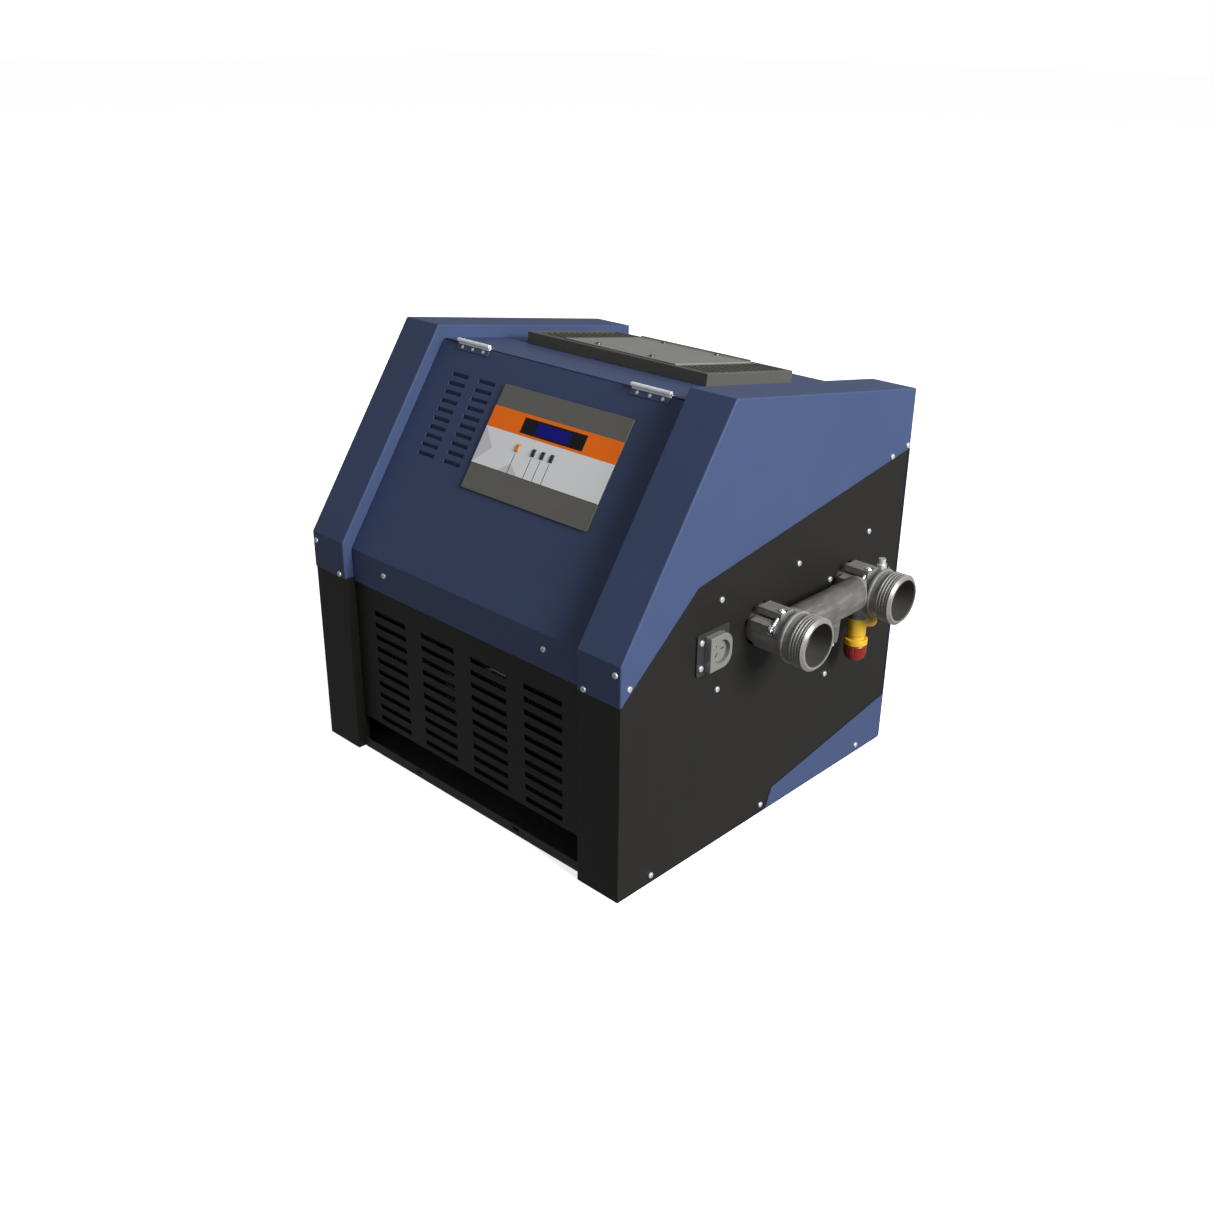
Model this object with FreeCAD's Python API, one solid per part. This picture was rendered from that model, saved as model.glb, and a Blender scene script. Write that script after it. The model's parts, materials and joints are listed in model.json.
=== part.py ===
import FreeCAD, Part
import math
import os

# Gas pool heater in a sheet-metal cabinet. Millimetres.
# Origin: centre of the cabinet's footprint, on the floor. +X is the side with the water ports,
# -Y is the front, +Z is up.

V = FreeCAD.Vector
X, Y, Z = V(1, 0, 0), V(0, 1, 0), V(0, 0, 1)

# ---------------------------------------------------------------- driving dimensions
WIDTH = 700.0            # cabinet, side to side
DEPTH = 670.0            # cabinet, front to rear
RIDGE_HEIGHT = 700.0     # highest line of the cabinet
REAR_HEIGHT = 630.0      # top of the rear face
SLOPE_FOOT = 380.0       # height where the sloped front begins
RIDGE_SETBACK = 217.0    # ridge behind the front face
CHEEK_WIDTH = 83.0       # raised band at each side of the front
FRONT_RECESS = 17.0      # centre of the front behind the cheeks
TOP_RECESS = 21.0        # door and deck below the cheeks, square to their faces
SHEET = 1.5              # sheet-metal thickness
EDGE_ROUND = 2.5         # outside bend radius of the covers
STRIP_TUCK = 12.0        # cheek's inner strip below the door and deck
PANEL_GAP = 1.0          # gap between neighbouring panels

LIP_BOTTOM = 317.5       # lower edge of the cheeks' front lips
COVER_BREAK_Y = 153.0    # kink in the covers' lower edge, behind the front
COVER_BREAK_Z = 447.0
REAR_LIP = 97.5          # height of the covers' lips at the rear
COVER_OVERLAP = 20.0     # side panel's height behind the cover
DOOR_LIP_BOTTOM = 311.0  # lower edge of the door's front lip
DOOR_RETURN = 13.0       # depth of the door's side flanges

BASE_STRIP = 17.0        # height of the base tray's front strip
SLOT_TOP = 60.0          # top of the air slot above the strip
LOUVRE_COLUMNS = 4
LOUVRE_ROWS = 10
LOUVRE_PITCH_X = 119.0
LOUVRE_PITCH_Z = 21.5
LOUVRE_WIDTH = 80.0
LOUVRE_HEIGHT = 9.5
LOUVRE_TOP = 268.0       # centre of the top row

VENT_COLUMNS = (-193.0, -130.0)
VENT_ROWS = 10
VENT_PITCH = 15.2
VENT_WIDTH = 38.0
VENT_HEIGHT = 6.0
VENT_TOP = 321.0         # centre of the top row, up the slope

PANEL_LEFT, PANEL_RIGHT = -88.0, 183.0       # control panel on the door
PANEL_BOTTOM, PANEL_TOP = 155.0, 328.0       # up the slope
LABEL_BOTTOM, LABEL_TOP = 197.0, 292.0
LCD_LEFT, LCD_RIGHT = -17.5, 115.0
LCD_BOTTOM, LCD_TOP = 261.5, 286.5
BEZEL_THICK = 2.5
LABEL_THICK = 0.5
KEY_ROW = 238.0          # keys' centre line, up the slope
KEY_PLACES = {"key_power": -7.5, "key_mode": 27.5, "key_down": 46.7, "key_up": 66.0}
KEY_WIDTH, KEY_LENGTH = 7.0, 12.0
KEY_CLEARANCE = 0.3
KEY_TRAVEL = 0.8

HINGE_CENTRE = 190.0
HINGE_LENGTH = 75.0
HINGE_LEAF = 12.5
HINGE_LEAF_THICK = 1.2
KNUCKLE_RADIUS = 3.4
HINGE_PIN_RADIUS = 1.6
PIN_CLEARANCE = 0.05
HINGE_GAP = 0.4

FLUE_LEFT, FLUE_RIGHT = -208.0, 182.0
FLUE_FRONT, FLUE_LENGTH = 130.0, 215.0       # along the deck, from the fold
FLUE_HEIGHT = 20.0
FLUE_RIM = 9.0
FLUE_PLATE_LEFT, FLUE_PLATE_RIGHT = -128.0, 112.0
FLUE_PLATE_THICK = 2.0

PORT_SPACING = 220.0
PORT_CENTRE_Y = 75.0
PORT_HEIGHT = 345.0
PORT_RADIUS = 40.0       # thread's outside
PORT_BORE = 33.0
PORT_LENGTH = 96.0       # from the collar's start to the open end
COLLAR_GAP = 8.0         # collar's start outside the cabinet's side
COLLAR_RADIUS = 34.5
COLLAR_LENGTH = 54.0
PORT_STEP = 4.0
STUB_RADIUS = 30.0
STUB_BORE = 25.0
STUB_CLEARANCE = 0.2
THREAD_RIDGES = 4
THREAD_PITCH = 5.0
THREAD_DEPTH = 2.0
CROSS_RADIUS = 26.0
CROSS_BORE = 20.0
BYPASS_HOLE = 13.0
BYPASS_LIFT = 10.0
STEM_RADIUS = 3.0
RELIEF_STEM = 4.0
RELIEF_BODY = 45.0       # relief valve's body, from the header down to its knob
DRAIN_DROP = 58.0        # drain boss below the cross pipe's centre
LUG_ANGLE = math.radians(40)     # split of the collar, in front of its top
LUG_LENGTH = 42.0

SOCKET_Y = -141.0        # pump outlet on the right panel
SOCKET_Z = 341.0
SOCKET_WIDTH, SOCKET_HEIGHT, SOCKET_PROUD = 48.0, 54.0, 12.0
SOCKET_RECESS = 18.0     # radius of the round plug recess

SCREW_RADIUS = 2.1
SCREW_HEAD = 4.6
SCREW_HEAD_HEIGHT = 2.8
SCREW_LENGTH = 8.0
HOLE_CLEARANCE = 0.2
HINGE_HOLE = 1.7
HINGE_SCREW_HEAD = 3.0
ANCHOR_HOLE = 5.5

SIDE_SPACE = 110.0       # between the chamber and the cabinet's side
FRONT_SPACE = 175.0      # between the chamber and the front face
REAR_SPACE = 125.0       # between the chamber and the rear face
EXCHANGER_HALF = 32.0    # half height of the heat exchanger
LINER = 18.0
TUBE_COUNT = 9
TUBE_RADIUS = 11.0
TUBE_WALL = 1.5
FIN_COUNT = 14
BURNER_COUNT = 8
BURNER_HEIGHT = 150.0
BURNER_RADIUS = 14.0
GAS_PIPE_RADIUS = 13.45
GAS_PROUD = 35.0         # gas pipe outside the left side
VALVE_WIDTH = 65.0
FAN_RADIUS = 75.0
FAN_X = 60.0
FAN_WIDTH = 68.0
FAN_Z = 262.0
FAN_SHAFT = 4.0
TANK_WIDTH = 40.0
PCB_FRONT = 9.0          # front of the circuit board behind the door's face
PCB_THICK = 1.6
GLAND_RADIUS = 10.0
GLAND_BORE = 5.0

# ---------------------------------------------------------------- derived places
FRONT, REAR = -DEPTH / 2, DEPTH / 2
SIDE = WIDTH / 2
CHEEK = SIDE - CHEEK_WIDTH
RIDGE = FRONT + RIDGE_SETBACK
SLOPE = math.atan2(RIDGE_HEIGHT - SLOPE_FOOT, RIDGE_SETBACK)
FALL = math.atan2(RIDGE_HEIGHT - REAR_HEIGHT, DEPTH - RIDGE_SETBACK)
PORTS = (PORT_CENTRE_Y - PORT_SPACING / 2, PORT_CENTRE_Y + PORT_SPACING / 2)
PANEL_HALF = CHEEK - PANEL_GAP
FLUE_REAR = FLUE_FRONT + FLUE_LENGTH
REAR_LIP_BOTTOM = REAR_HEIGHT - REAR_LIP
REAR_DECK_FLANGE = REAR_HEIGHT - 70.0
COLLAR_START = SIDE + COLLAR_GAP
CROSS_X = COLLAR_START + 30.0
RELIEF_Y = PORTS[1] - 18.0
DRAIN_Y = PORT_CENTRE_Y + 17.0
CLAMP_BOLT_X = COLLAR_START + 36.0
BYPASS_SEAT = PORT_CENTRE_Y - 12.0
GUIDE_Y = PORT_CENTRE_Y + 40.0
SENSOR_AT = V(COLLAR_START + 42, PORTS[1] + 17, PORT_HEIGHT + COLLAR_RADIUS - 3.5)
CHAMBER_LEFT, CHAMBER_RIGHT = SIDE_SPACE - SIDE, SIDE - SIDE_SPACE
CHAMBER_FRONT, CHAMBER_REAR = FRONT + FRONT_SPACE, REAR - REAR_SPACE
EXCHANGER_LOW, EXCHANGER_TOP = PORT_HEIGHT - 30.0, PORT_HEIGHT + EXCHANGER_HALF
CHAMBER_TOP = EXCHANGER_LOW
TUBE_END = CHAMBER_RIGHT + 10.0
SWITCH_Y = PORT_CENTRE_Y - 60.0
IGNITER_X = CHAMBER_RIGHT - 70.0
GAS_Y = CHAMBER_FRONT - 45.0
VALVE_RIGHT = CHAMBER_LEFT + 5.0
FAN_Y = CHAMBER_FRONT - FAN_RADIUS - 1.0
GLAND_AT = (FRONT + 95.0, 230.0)
ANCHOR_X, ANCHOR_Y = SIDE - 60.0, DEPTH / 2 - 85.0


def slope_height(y, offset):
    """Height of the sloped face at y, moved inwards by offset."""
    return SLOPE_FOOT + (y - FRONT) * math.tan(SLOPE) - offset / math.cos(SLOPE)


def top_height(y, offset):
    """Height of the top face at y, moved down by offset, square to it."""
    return RIDGE_HEIGHT - (y - RIDGE) * math.tan(FALL) - offset / math.cos(FALL)


def fold(slope, top):
    """Point (y, z) where the moved slope meets the moved top."""
    y = FRONT + (top_height(FRONT, top) - slope_height(FRONT, slope)) / (math.tan(SLOPE) + math.tan(FALL))
    return y, top_height(y, top)


def outline(front, slope, top, rear, bottom):
    """Side outline in (y, z), each face moved inwards by its own amount."""
    y_front, y_rear = FRONT + front, REAR - rear
    return [
        (y_front, bottom),
        (y_front, slope_height(y_front, slope)),
        fold(slope, top),
        (y_rear, top_height(y_rear, top)),
        (y_rear, bottom),
    ]


DOOR_FOOT = (FRONT + FRONT_RECESS, slope_height(FRONT + FRONT_RECESS, TOP_RECESS))
FOLD = fold(TOP_RECESS, TOP_RECESS)
SLOPE_LENGTH = math.dist(DOOR_FOOT, FOLD)
DECK_LENGTH = (REAR - FOLD[0]) / math.cos(FALL)
INWARDS = V(0, math.sin(SLOPE), -math.cos(SLOPE))


# ---------------------------------------------------------------- helpers
def box(x0, x1, y0, y1, z0, z1):
    return Part.makeBox(x1 - x0, y1 - y0, z1 - z0, V(x0, y0, z0))


def prism(points, x0, x1):
    """Solid with a (y, z) outline, from x0 to x1."""
    ring = [V(x0, y, z) for y, z in points]
    face = Part.Face(Part.makePolygon(ring + ring[:1]))
    return face.extrude(V(x1 - x0, 0, 0))


def turned(profile, at, out):
    """Solid of revolution from (distance, radius) pairs along the direction out from the point at."""
    points = [V(radius, 0, distance) for distance, radius in profile]
    points = [V(0, 0, profile[0][0])] + points + [V(0, 0, profile[-1][0])]
    face = Part.Face(Part.makePolygon(points + points[:1]))
    return placed(face.revolve(V(0, 0, 0), Z, 360), at, out)


def rod(at, out, radius, length):
    return Part.makeCylinder(radius, length, at, out)


def tube(at, out, radius, bore, length):
    return rod(at, out, radius, length).cut(rod(at, out, bore, length))


def hexagon(at, out, across, height):
    """Hexagonal prism, the size across its flats."""
    corner = across / math.sqrt(3)
    ring = [V(corner * math.cos(math.radians(60 * i)), corner * math.sin(math.radians(60 * i)), 0) for i in range(6)]
    return placed(Part.Face(Part.makePolygon(ring + ring[:1])).extrude(Z * height), at, out)


def placed(shape, at, out):
    """Copy of a shape made along +Z, moved to at and turned so that +Z points along out."""
    return shape.transformed(FreeCAD.Placement(at, FreeCAD.Rotation(Z, out)).toMatrix(), True)


def on_slope(shape):
    """From (x, distance up the slope, height above the door) to the object's frame."""
    turn = FreeCAD.Rotation(X, math.degrees(SLOPE))
    return shape.transformed(FreeCAD.Placement(V(0, *DOOR_FOOT), turn).toMatrix(), True)


def on_deck(shape):
    """From (x, distance behind the fold, height above the deck) to the object's frame."""
    turn = FreeCAD.Rotation(X, -math.degrees(FALL))
    return shape.transformed(FreeCAD.Placement(V(0, *FOLD), turn).toMatrix(), True)


def fused(shapes):
    whole = shapes[0].fuse(shapes[1:]) if len(shapes) > 1 else shapes[0]
    return whole.removeSplitter()


def mirrored(shape):
    return shape.mirror(V(0, 0, 0), X)


def rounded(shape, radius, above):
    """Shape with a radius on every edge that lies wholly above a height."""
    edges = [edge for edge in shape.Edges if edge.BoundBox.ZMax > above + 1]
    return shape.makeFillet(radius, edges)


def drill(shape, places, radius, depth=12.0):
    return shape.cut([rod(at - out * depth, out, radius, 2 * depth) for at, out in places])


# ---------------------------------------------------------------- screws
def side_point(x, y, z):
    """Point on the right side, y measured from the front."""
    return V(x, FRONT + y, z)


OUTER, INNER = SIDE, SIDE - SHEET
PANEL_PLACES = [(387, 415), (206, 413), (205, 271), (71, 14), (330, 16)]
HEADER_SCREW_PLACES = [(PORTS[1] + 52, 416), (PORT_CENTRE_Y + 71, 195), (PORT_CENTRE_Y + 63, 363)]
SIDE_SCREWS = [(side_point(INNER, y, z), X) for y, z in PANEL_PLACES]
HEADER_SCREWS = [(V(INNER, y, z), X) for y, z in HEADER_SCREW_PLACES]
COVER_SCREWS = [(side_point(OUTER, 16, 343), X)]
for behind, above in ((DEPTH - 53, 6), (DEPTH - 10, 8)):
    line = COVER_BREAK_Z + (behind - COVER_BREAK_Y) * (REAR_LIP_BOTTOM - COVER_BREAK_Z) / (DEPTH - COVER_BREAK_Y)
    COVER_SCREWS.append((side_point(OUTER, behind, line + above), X))
WING_SCREWS = [(V(OUTER, REAR - 76, 16), X)]
LIP_SCREWS = [(V(SIDE - 10, FRONT, 366), -Y), (V(SIDE - 69, FRONT, 323.5), -Y)]
REAR_SCREWS = [(V(SIDE - 15, REAR, z), Y) for z in (110, 310, 510)]
DECK_SCREWS = [(V(x, REAR, REAR_HEIGHT - 45), Y) for x in (-230, 230)]
DOOR_SCREWS = [(V(x, FRONT + FRONT_RECESS, 344), -Y) for x in (-184, 184)]


BOTH_SIDE_SCREWS = SIDE_SCREWS + COVER_SCREWS + WING_SCREWS + LIP_SCREWS + REAR_SCREWS


def flipped(places):
    """The same places on the other side of the cabinet."""
    return [(V(-at.x, at.y, at.z), V(-out.x, out.y, out.z)) for at, out in places]


def screw_blank(head_radius=SCREW_HEAD, shank=SCREW_LENGTH):
    """Pan-head screw along +Z with its seat at zero and a cross recess."""
    head = rod(V(0, 0, 0), Z, head_radius, SCREW_HEAD_HEIGHT)
    top_edges = [edge for edge in head.Edges if edge.BoundBox.ZMin > SCREW_HEAD_HEIGHT / 2]
    head = head.makeFillet(SCREW_HEAD_HEIGHT * 0.6, top_edges)
    slot = head_radius * 0.55
    cross = [box(-slot, slot, -0.5, 0.5, 1.6, 4), box(-0.5, 0.5, -slot, slot, 1.6, 4)]
    return fused([head.cut(cross), rod(V(0, 0, -shank), Z, SCREW_RADIUS, shank + 0.5)])


def screws(places):
    blank = screw_blank()
    return Part.makeCompound([placed(blank, at, out) for at, out in places])


HOLE = SCREW_RADIUS + HOLE_CLEARANCE


# ---------------------------------------------------------------- cabinet
def cover_edge(raised):
    """Lower edge of the cheek covers' sides as (y, z), front to rear, raised by an amount."""
    return [
        (FRONT, LIP_BOTTOM + raised),
        (FRONT + COVER_BREAK_Y, COVER_BREAK_Z + raised),
        (REAR, REAR_LIP_BOTTOM + raised),
    ]


def cheek_cover_right():
    floor = LIP_BOTTOM - 40
    outer = rounded(prism(outline(0, 0, 0, 0, floor), CHEEK, SIDE), EDGE_ROUND, floor)
    inside = prism(outline(SHEET, SHEET, SHEET, SHEET, floor - 5), CHEEK + SHEET, SIDE - SHEET)
    inside = rounded(inside, EDGE_ROUND - SHEET, floor - 5)
    strip = STRIP_TUCK + TOP_RECESS
    core = prism(outline(STRIP_TUCK + FRONT_RECESS, strip, strip, STRIP_TUCK, floor - 5), CHEEK - 5, CHEEK + SHEET)
    wall = SIDE - SHEET - 3
    below = prism([(FRONT - 5, floor - 9), (FRONT - 5, LIP_BOTTOM)] + cover_edge(0)
                  + [(REAR + 5, REAR_LIP_BOTTOM), (REAR + 5, floor - 9)], wall, SIDE + 5)
    front_low = box(CHEEK - 5, wall, FRONT - 5, 0, floor - 9, LIP_BOTTOM)
    rear_low = box(CHEEK - 5, wall, 0, REAR + 5, floor - 9, REAR_LIP_BOTTOM)
    shell = outer.cut([inside, core]).cut([below, front_low, rear_low])
    return drill(shell, COVER_SCREWS + LIP_SCREWS, HOLE)


def side_panel_blank():
    """Right side panel with its front leg and rear flange, without openings."""
    y_front, y_rear = FRONT + SHEET, REAR - SHEET
    edge = cover_edge(COVER_OVERLAP)
    wall = prism([(y_front, 0), (y_front, edge[0][1]), edge[1], (y_rear, edge[2][1]), (y_rear, 0)],
                 SIDE - 2 * SHEET, SIDE - SHEET)
    inner = CHEEK + SHEET + 0.5
    leg = box(CHEEK, SIDE - SHEET, y_front, y_front + SHEET, 0, LIP_BOTTOM - 1)
    tab = box(inner, SIDE - SHEET, y_front, y_front + SHEET, LIP_BOTTOM - 5, edge[0][1])
    leg_return = box(CHEEK, CHEEK + SHEET, y_front, FRONT + FRONT_RECESS + 10, 0, LIP_BOTTOM - 1)
    flange = box(SIDE - 28, SIDE - SHEET, y_rear - SHEET, y_rear, 3, edge[2][1])
    panel = fused([wall, leg, tab, leg_return, flange])
    corners = [edge for edge in panel.Edges if edge.BoundBox.ZLength > 100
               and min(abs(edge.BoundBox.XMin - SIDE + SHEET), 1) < 0.01
               and min(abs(edge.BoundBox.YMin - y_front), abs(edge.BoundBox.YMax - y_rear)) < 0.01]
    return panel.makeFillet(EDGE_ROUND - SHEET, corners)


def side_panel_right():
    panel = drill(side_panel_blank(), SIDE_SCREWS + HEADER_SCREWS + COVER_SCREWS + WING_SCREWS, HOLE)
    panel = drill(panel, LIP_SCREWS + REAR_SCREWS, HOLE)
    holes = [rod(V(SIDE - 10, y, PORT_HEIGHT), X, COLLAR_RADIUS - 1, 20) for y in PORTS]
    window = box(SIDE - 10, SIDE, SOCKET_Y - 22, SOCKET_Y + 20, SOCKET_Z - 24, SOCKET_Z + 24)
    return drill(panel.cut(holes + [window]), SOCKET_SCREWS, HOLE)


def side_panel_left():
    panel = drill(side_panel_blank(), SIDE_SCREWS + COVER_SCREWS + WING_SCREWS + LIP_SCREWS + REAR_SCREWS, HOLE)
    panel = mirrored(panel)
    gas_hole = rod(V(-SIDE - 5, GAS_Y, BURNER_HEIGHT), X, GAS_PIPE_RADIUS + 2, 20)
    gland_hole = rod(V(-SIDE - 5, GLAND_AT[0], GLAND_AT[1]), X, GLAND_RADIUS + HOLE_CLEARANCE, 20)
    return panel.cut([gas_hole, gland_hole])


def base_tray():
    wide = SIDE - 2 * SHEET - PANEL_GAP
    narrow = PANEL_HALF
    y_strip = FRONT + FRONT_RECESS - 2
    y_wide = FRONT + FRONT_RECESS + 14
    y_rear = REAR - 2 * SHEET - PANEL_GAP
    plate = box(-wide, wide, y_wide, y_rear, 0, 2)
    tongue = box(-narrow, narrow, y_strip, y_wide, 0, 2)
    strip = box(-narrow, narrow, y_strip, y_strip + 2, 0, BASE_STRIP)
    lips = [box(s * wide - (2 if s > 0 else 0), s * wide + (2 if s < 0 else 0), y_wide, y_rear, 0, 28) for s in (1, -1)]
    back = box(-wide, wide, y_rear - 2, y_rear, 0, 28)
    tray = fused([plate, tongue, strip, back] + lips)
    notches = [box(x - 7, x + 7, y_strip - 1, y_strip + 3, 7, 13) for x in (-118, 118)]
    anchors = [rod(V(x, y, -1), Z, ANCHOR_HOLE, 4) for x in (-ANCHOR_X, ANCHOR_X) for y in (-ANCHOR_Y, ANCHOR_Y)]
    tray = tray.cut(notches + anchors)
    return drill(tray, SIDE_SCREWS + flipped(SIDE_SCREWS) + WING_SCREWS + flipped(WING_SCREWS), HOLE)


def louvre(width, height, drop, sheet):
    """Opening and inward blade of one louvre in (x, up, outwards); the blade is wider so that it joins the sheet."""
    opening = box(-width / 2, width / 2, -height / 2, height / 2, -sheet - 1, 1)
    reach = width / 2 + 1
    blade = Part.makePolygon([V(-reach, height / 2 + 0.6, -sheet / 2), V(-reach, height / 2 + 0.6, -sheet - 1.2),
                              V(-reach, -height / 2, -sheet - drop), V(-reach, -height / 2 + 1.4, -sheet - drop),
                              V(-reach, height / 2 - 0.8, -sheet), V(-reach, height / 2 + 0.1, -sheet / 2),
                              V(-reach, height / 2 + 0.6, -sheet / 2)])
    return opening, Part.Face(blade).extrude(X * 2 * reach)


def front_louvre_panel():
    y_face = FRONT + FRONT_RECESS + SHEET + 0.3
    top = DOOR_LIP_BOTTOM + 45
    sheet = box(-PANEL_HALF, PANEL_HALF, y_face, y_face + SHEET, SLOT_TOP, top)
    flange = box(-PANEL_HALF, PANEL_HALF, y_face, y_face + 16, SLOT_TOP, SLOT_TOP + SHEET)
    opening, blade = louvre(LOUVRE_WIDTH, LOUVRE_HEIGHT, 5, SHEET)
    openings, blades = [], []
    for column in range(LOUVRE_COLUMNS):
        for row in range(LOUVRE_ROWS):
            at = V((column - (LOUVRE_COLUMNS - 1) / 2) * LOUVRE_PITCH_X, y_face, LOUVRE_TOP - row * LOUVRE_PITCH_Z)
            turn = FreeCAD.Placement(at, FreeCAD.Rotation(X, 90)).toMatrix()
            openings.append(opening.transformed(turn, True))
            blades.append(blade.transformed(turn, True))
    slots = [box(at.x - 2.7, at.x + 2.7, y_face - 1, y_face + 3, at.z - 7, at.z + 7) for at, out in DOOR_SCREWS]
    return fused([sheet, flange]).cut(openings + slots).fuse(blades).removeSplitter()


def rear_panel():
    wing = [(REAR - 326, 3), (REAR - 313, 35), (REAR, 86), (REAR, 3)]
    upper = REAR_DECK_FLANGE
    right = prism(wing, SIDE - SHEET, SIDE)
    plate = box(-SIDE, SIDE, REAR - SHEET, REAR, 3, REAR_LIP_BOTTOM - PANEL_GAP)
    centre = box(-PANEL_HALF, PANEL_HALF, REAR - SHEET, REAR, REAR_LIP_BOTTOM - 10, upper - PANEL_GAP)
    vents = [box(x - 45, x + 45, REAR - 5, REAR + 5, z, z + 6) for x in (-120, 120) for z in range(430, 520, 18)]
    panel = fused([plate, centre, right, mirrored(right)]).cut(vents)
    return drill(panel, REAR_SCREWS + flipped(REAR_SCREWS) + WING_SCREWS + flipped(WING_SCREWS), HOLE)


def top_deck():
    half = PANEL_HALF
    plate = box(-half, half, 2, DECK_LENGTH, -SHEET, 0)
    lip = box(-half + 30, half - 30, 2, 2 + SHEET, -18, 0)
    sides = [box(-half, -half + SHEET, 25, DECK_LENGTH, -12, 0), box(half - SHEET, half, 25, DECK_LENGTH, -12, 0)]
    hole = box(FLUE_LEFT + 12, FLUE_RIGHT - 12, FLUE_FRONT + 12, FLUE_REAR - 12, -5, 5)
    body = on_deck(fused([plate, lip] + sides).cut(hole))
    rear_top = top_height(REAR, TOP_RECESS)
    flange = box(-half, half, REAR - SHEET, REAR, REAR_DECK_FLANGE, rear_top + 1)
    above = prism([(REAR - 40, top_height(REAR - 40, TOP_RECESS)), (REAR + 5, top_height(REAR + 5, TOP_RECESS)),
                   (REAR + 5, rear_top + 30), (REAR - 40, rear_top + 30)], -half - 5, half + 5)
    behind = box(-half - 5, half + 5, REAR, REAR + 20, 400, 700)
    deck = fused([body, flange]).cut([above, behind])
    return drill(drill(deck, DECK_SCREWS, HOLE), hinge_screw_places("fixed"), HINGE_HOLE, 4)


# ---------------------------------------------------------------- door and hinges
def front_door():
    top_end = SLOPE_LENGTH - 2
    skin = TOP_RECESS + SHEET
    inner_foot = (FRONT + FRONT_RECESS + SHEET, slope_height(FRONT + FRONT_RECESS + SHEET, skin))
    run = V(0, math.cos(SLOPE), math.sin(SLOPE))
    end = V(0, *DOOR_FOOT) + run * top_end
    end_in = end + INWARDS * SHEET
    band = prism([(DOOR_FOOT[0], DOOR_LIP_BOTTOM), DOOR_FOOT, (end.y, end.z), (end_in.y, end_in.z),
                  inner_foot, (inner_foot[0], DOOR_LIP_BOTTOM)], -PANEL_HALF, PANEL_HALF)
    sides = []
    for x in (-PANEL_HALF, PANEL_HALF - SHEET):
        sides.append(on_slope(box(x, x + SHEET, 14, top_end - 10, -DOOR_RETURN, 0)))
    door = fused([band] + sides)
    opening, blade = louvre(VENT_WIDTH, VENT_HEIGHT, 3, SHEET)
    openings, blades = [], []
    for column in VENT_COLUMNS:
        for row in range(VENT_ROWS):
            shift = V(column, VENT_TOP - row * VENT_PITCH, 0)
            openings.append(on_slope(opening.translated(shift)))
            blades.append(on_slope(blade.translated(shift)))
    window = on_slope(box(PANEL_LEFT + 8, PANEL_RIGHT - 8, PANEL_BOTTOM + 8, PANEL_TOP - 8, -5, 5))
    door = door.cut(openings + [window]).fuse(blades).removeSplitter()
    door = drill(door, DOOR_SCREWS, HOLE, 6)
    return drill(door, hinge_screw_places("door"), HINGE_HOLE, 4)


def hinge_axis():
    """Point (y, z) of the hinge axis, one knuckle radius above both the door and the deck."""
    return fold(TOP_RECESS - KNUCKLE_RADIUS, TOP_RECESS - KNUCKLE_RADIUS)


def hinge_screw_places(leaf):
    """Seats of the hinge screws on a leaf, with their outward directions."""
    places = []
    for centre in (-HINGE_CENTRE, HINGE_CENTRE):
        for side in (-1, 0, 1):
            x = centre + side * (HINGE_LENGTH / 2 - 13)
            reach = HINGE_LEAF - 5
            if leaf == "door":
                at = V(0, *DOOR_FOOT) + V(0, math.cos(SLOPE), math.sin(SLOPE)) * (SLOPE_LENGTH - reach)
                out = INWARDS * -1
            else:
                at = V(0, *FOLD) + V(0, math.cos(FALL), -math.sin(FALL)) * reach
                out = V(0, math.sin(FALL), math.cos(FALL))
            places.append((V(x, at.y, at.z) + out * HINGE_LEAF_THICK, out))
    return places


def knuckles(leaf, centre):
    """Spans (x0, x1) of a leaf's knuckles: the fixed leaf has three, the door leaf two."""
    pitch = HINGE_LENGTH / 5
    first = centre - HINGE_LENGTH / 2
    chosen = (0, 2, 4) if leaf == "fixed" else (1, 3)
    return [(first + i * pitch + HINGE_GAP / 2, first + (i + 1) * pitch - HINGE_GAP / 2) for i in chosen]


def hinge_leaves(leaf):
    y, z = hinge_axis()
    other = "door" if leaf == "fixed" else "fixed"
    leaves = []
    for centre in (-HINGE_CENTRE, HINGE_CENTRE):
        x0, x1 = centre - HINGE_LENGTH / 2, centre + HINGE_LENGTH / 2
        if leaf == "fixed":
            plate = on_deck(box(x0, x1, 0, HINGE_LEAF, 0, HINGE_LEAF_THICK))
        else:
            plate = on_slope(box(x0, x1, SLOPE_LENGTH - HINGE_LEAF, SLOPE_LENGTH, 0, HINGE_LEAF_THICK))
        barrel = [rod(V(a, y, z), X, KNUCKLE_RADIUS, b - a) for a, b in knuckles(leaf, centre)]
        notches = [rod(V(a - HINGE_GAP, y, z), X, KNUCKLE_RADIUS + HINGE_GAP, b - a + 2 * HINGE_GAP)
                   for a, b in knuckles(other, centre)]
        bore = rod(V(x0 - 1, y, z), X, HINGE_PIN_RADIUS + PIN_CLEARANCE, HINGE_LENGTH + 2)
        leaves.append(fused([plate.cut(notches)] + barrel).cut(bore))
    return drill(Part.makeCompound(leaves), hinge_screw_places(leaf), HINGE_HOLE, 4)


def hinge_pins():
    y, z = hinge_axis()
    pins = []
    for centre in (-HINGE_CENTRE, HINGE_CENTRE):
        x0 = centre - HINGE_LENGTH / 2
        pins.append(turned([(0, KNUCKLE_RADIUS - 0.4), (1, KNUCKLE_RADIUS - 0.4), (1, HINGE_PIN_RADIUS),
                            (HINGE_LENGTH + 2.5, HINGE_PIN_RADIUS), (HINGE_LENGTH + 3, HINGE_PIN_RADIUS - 0.5)],
                           V(x0 - 1.2, y, z), X))
    return Part.makeCompound(pins)


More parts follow.
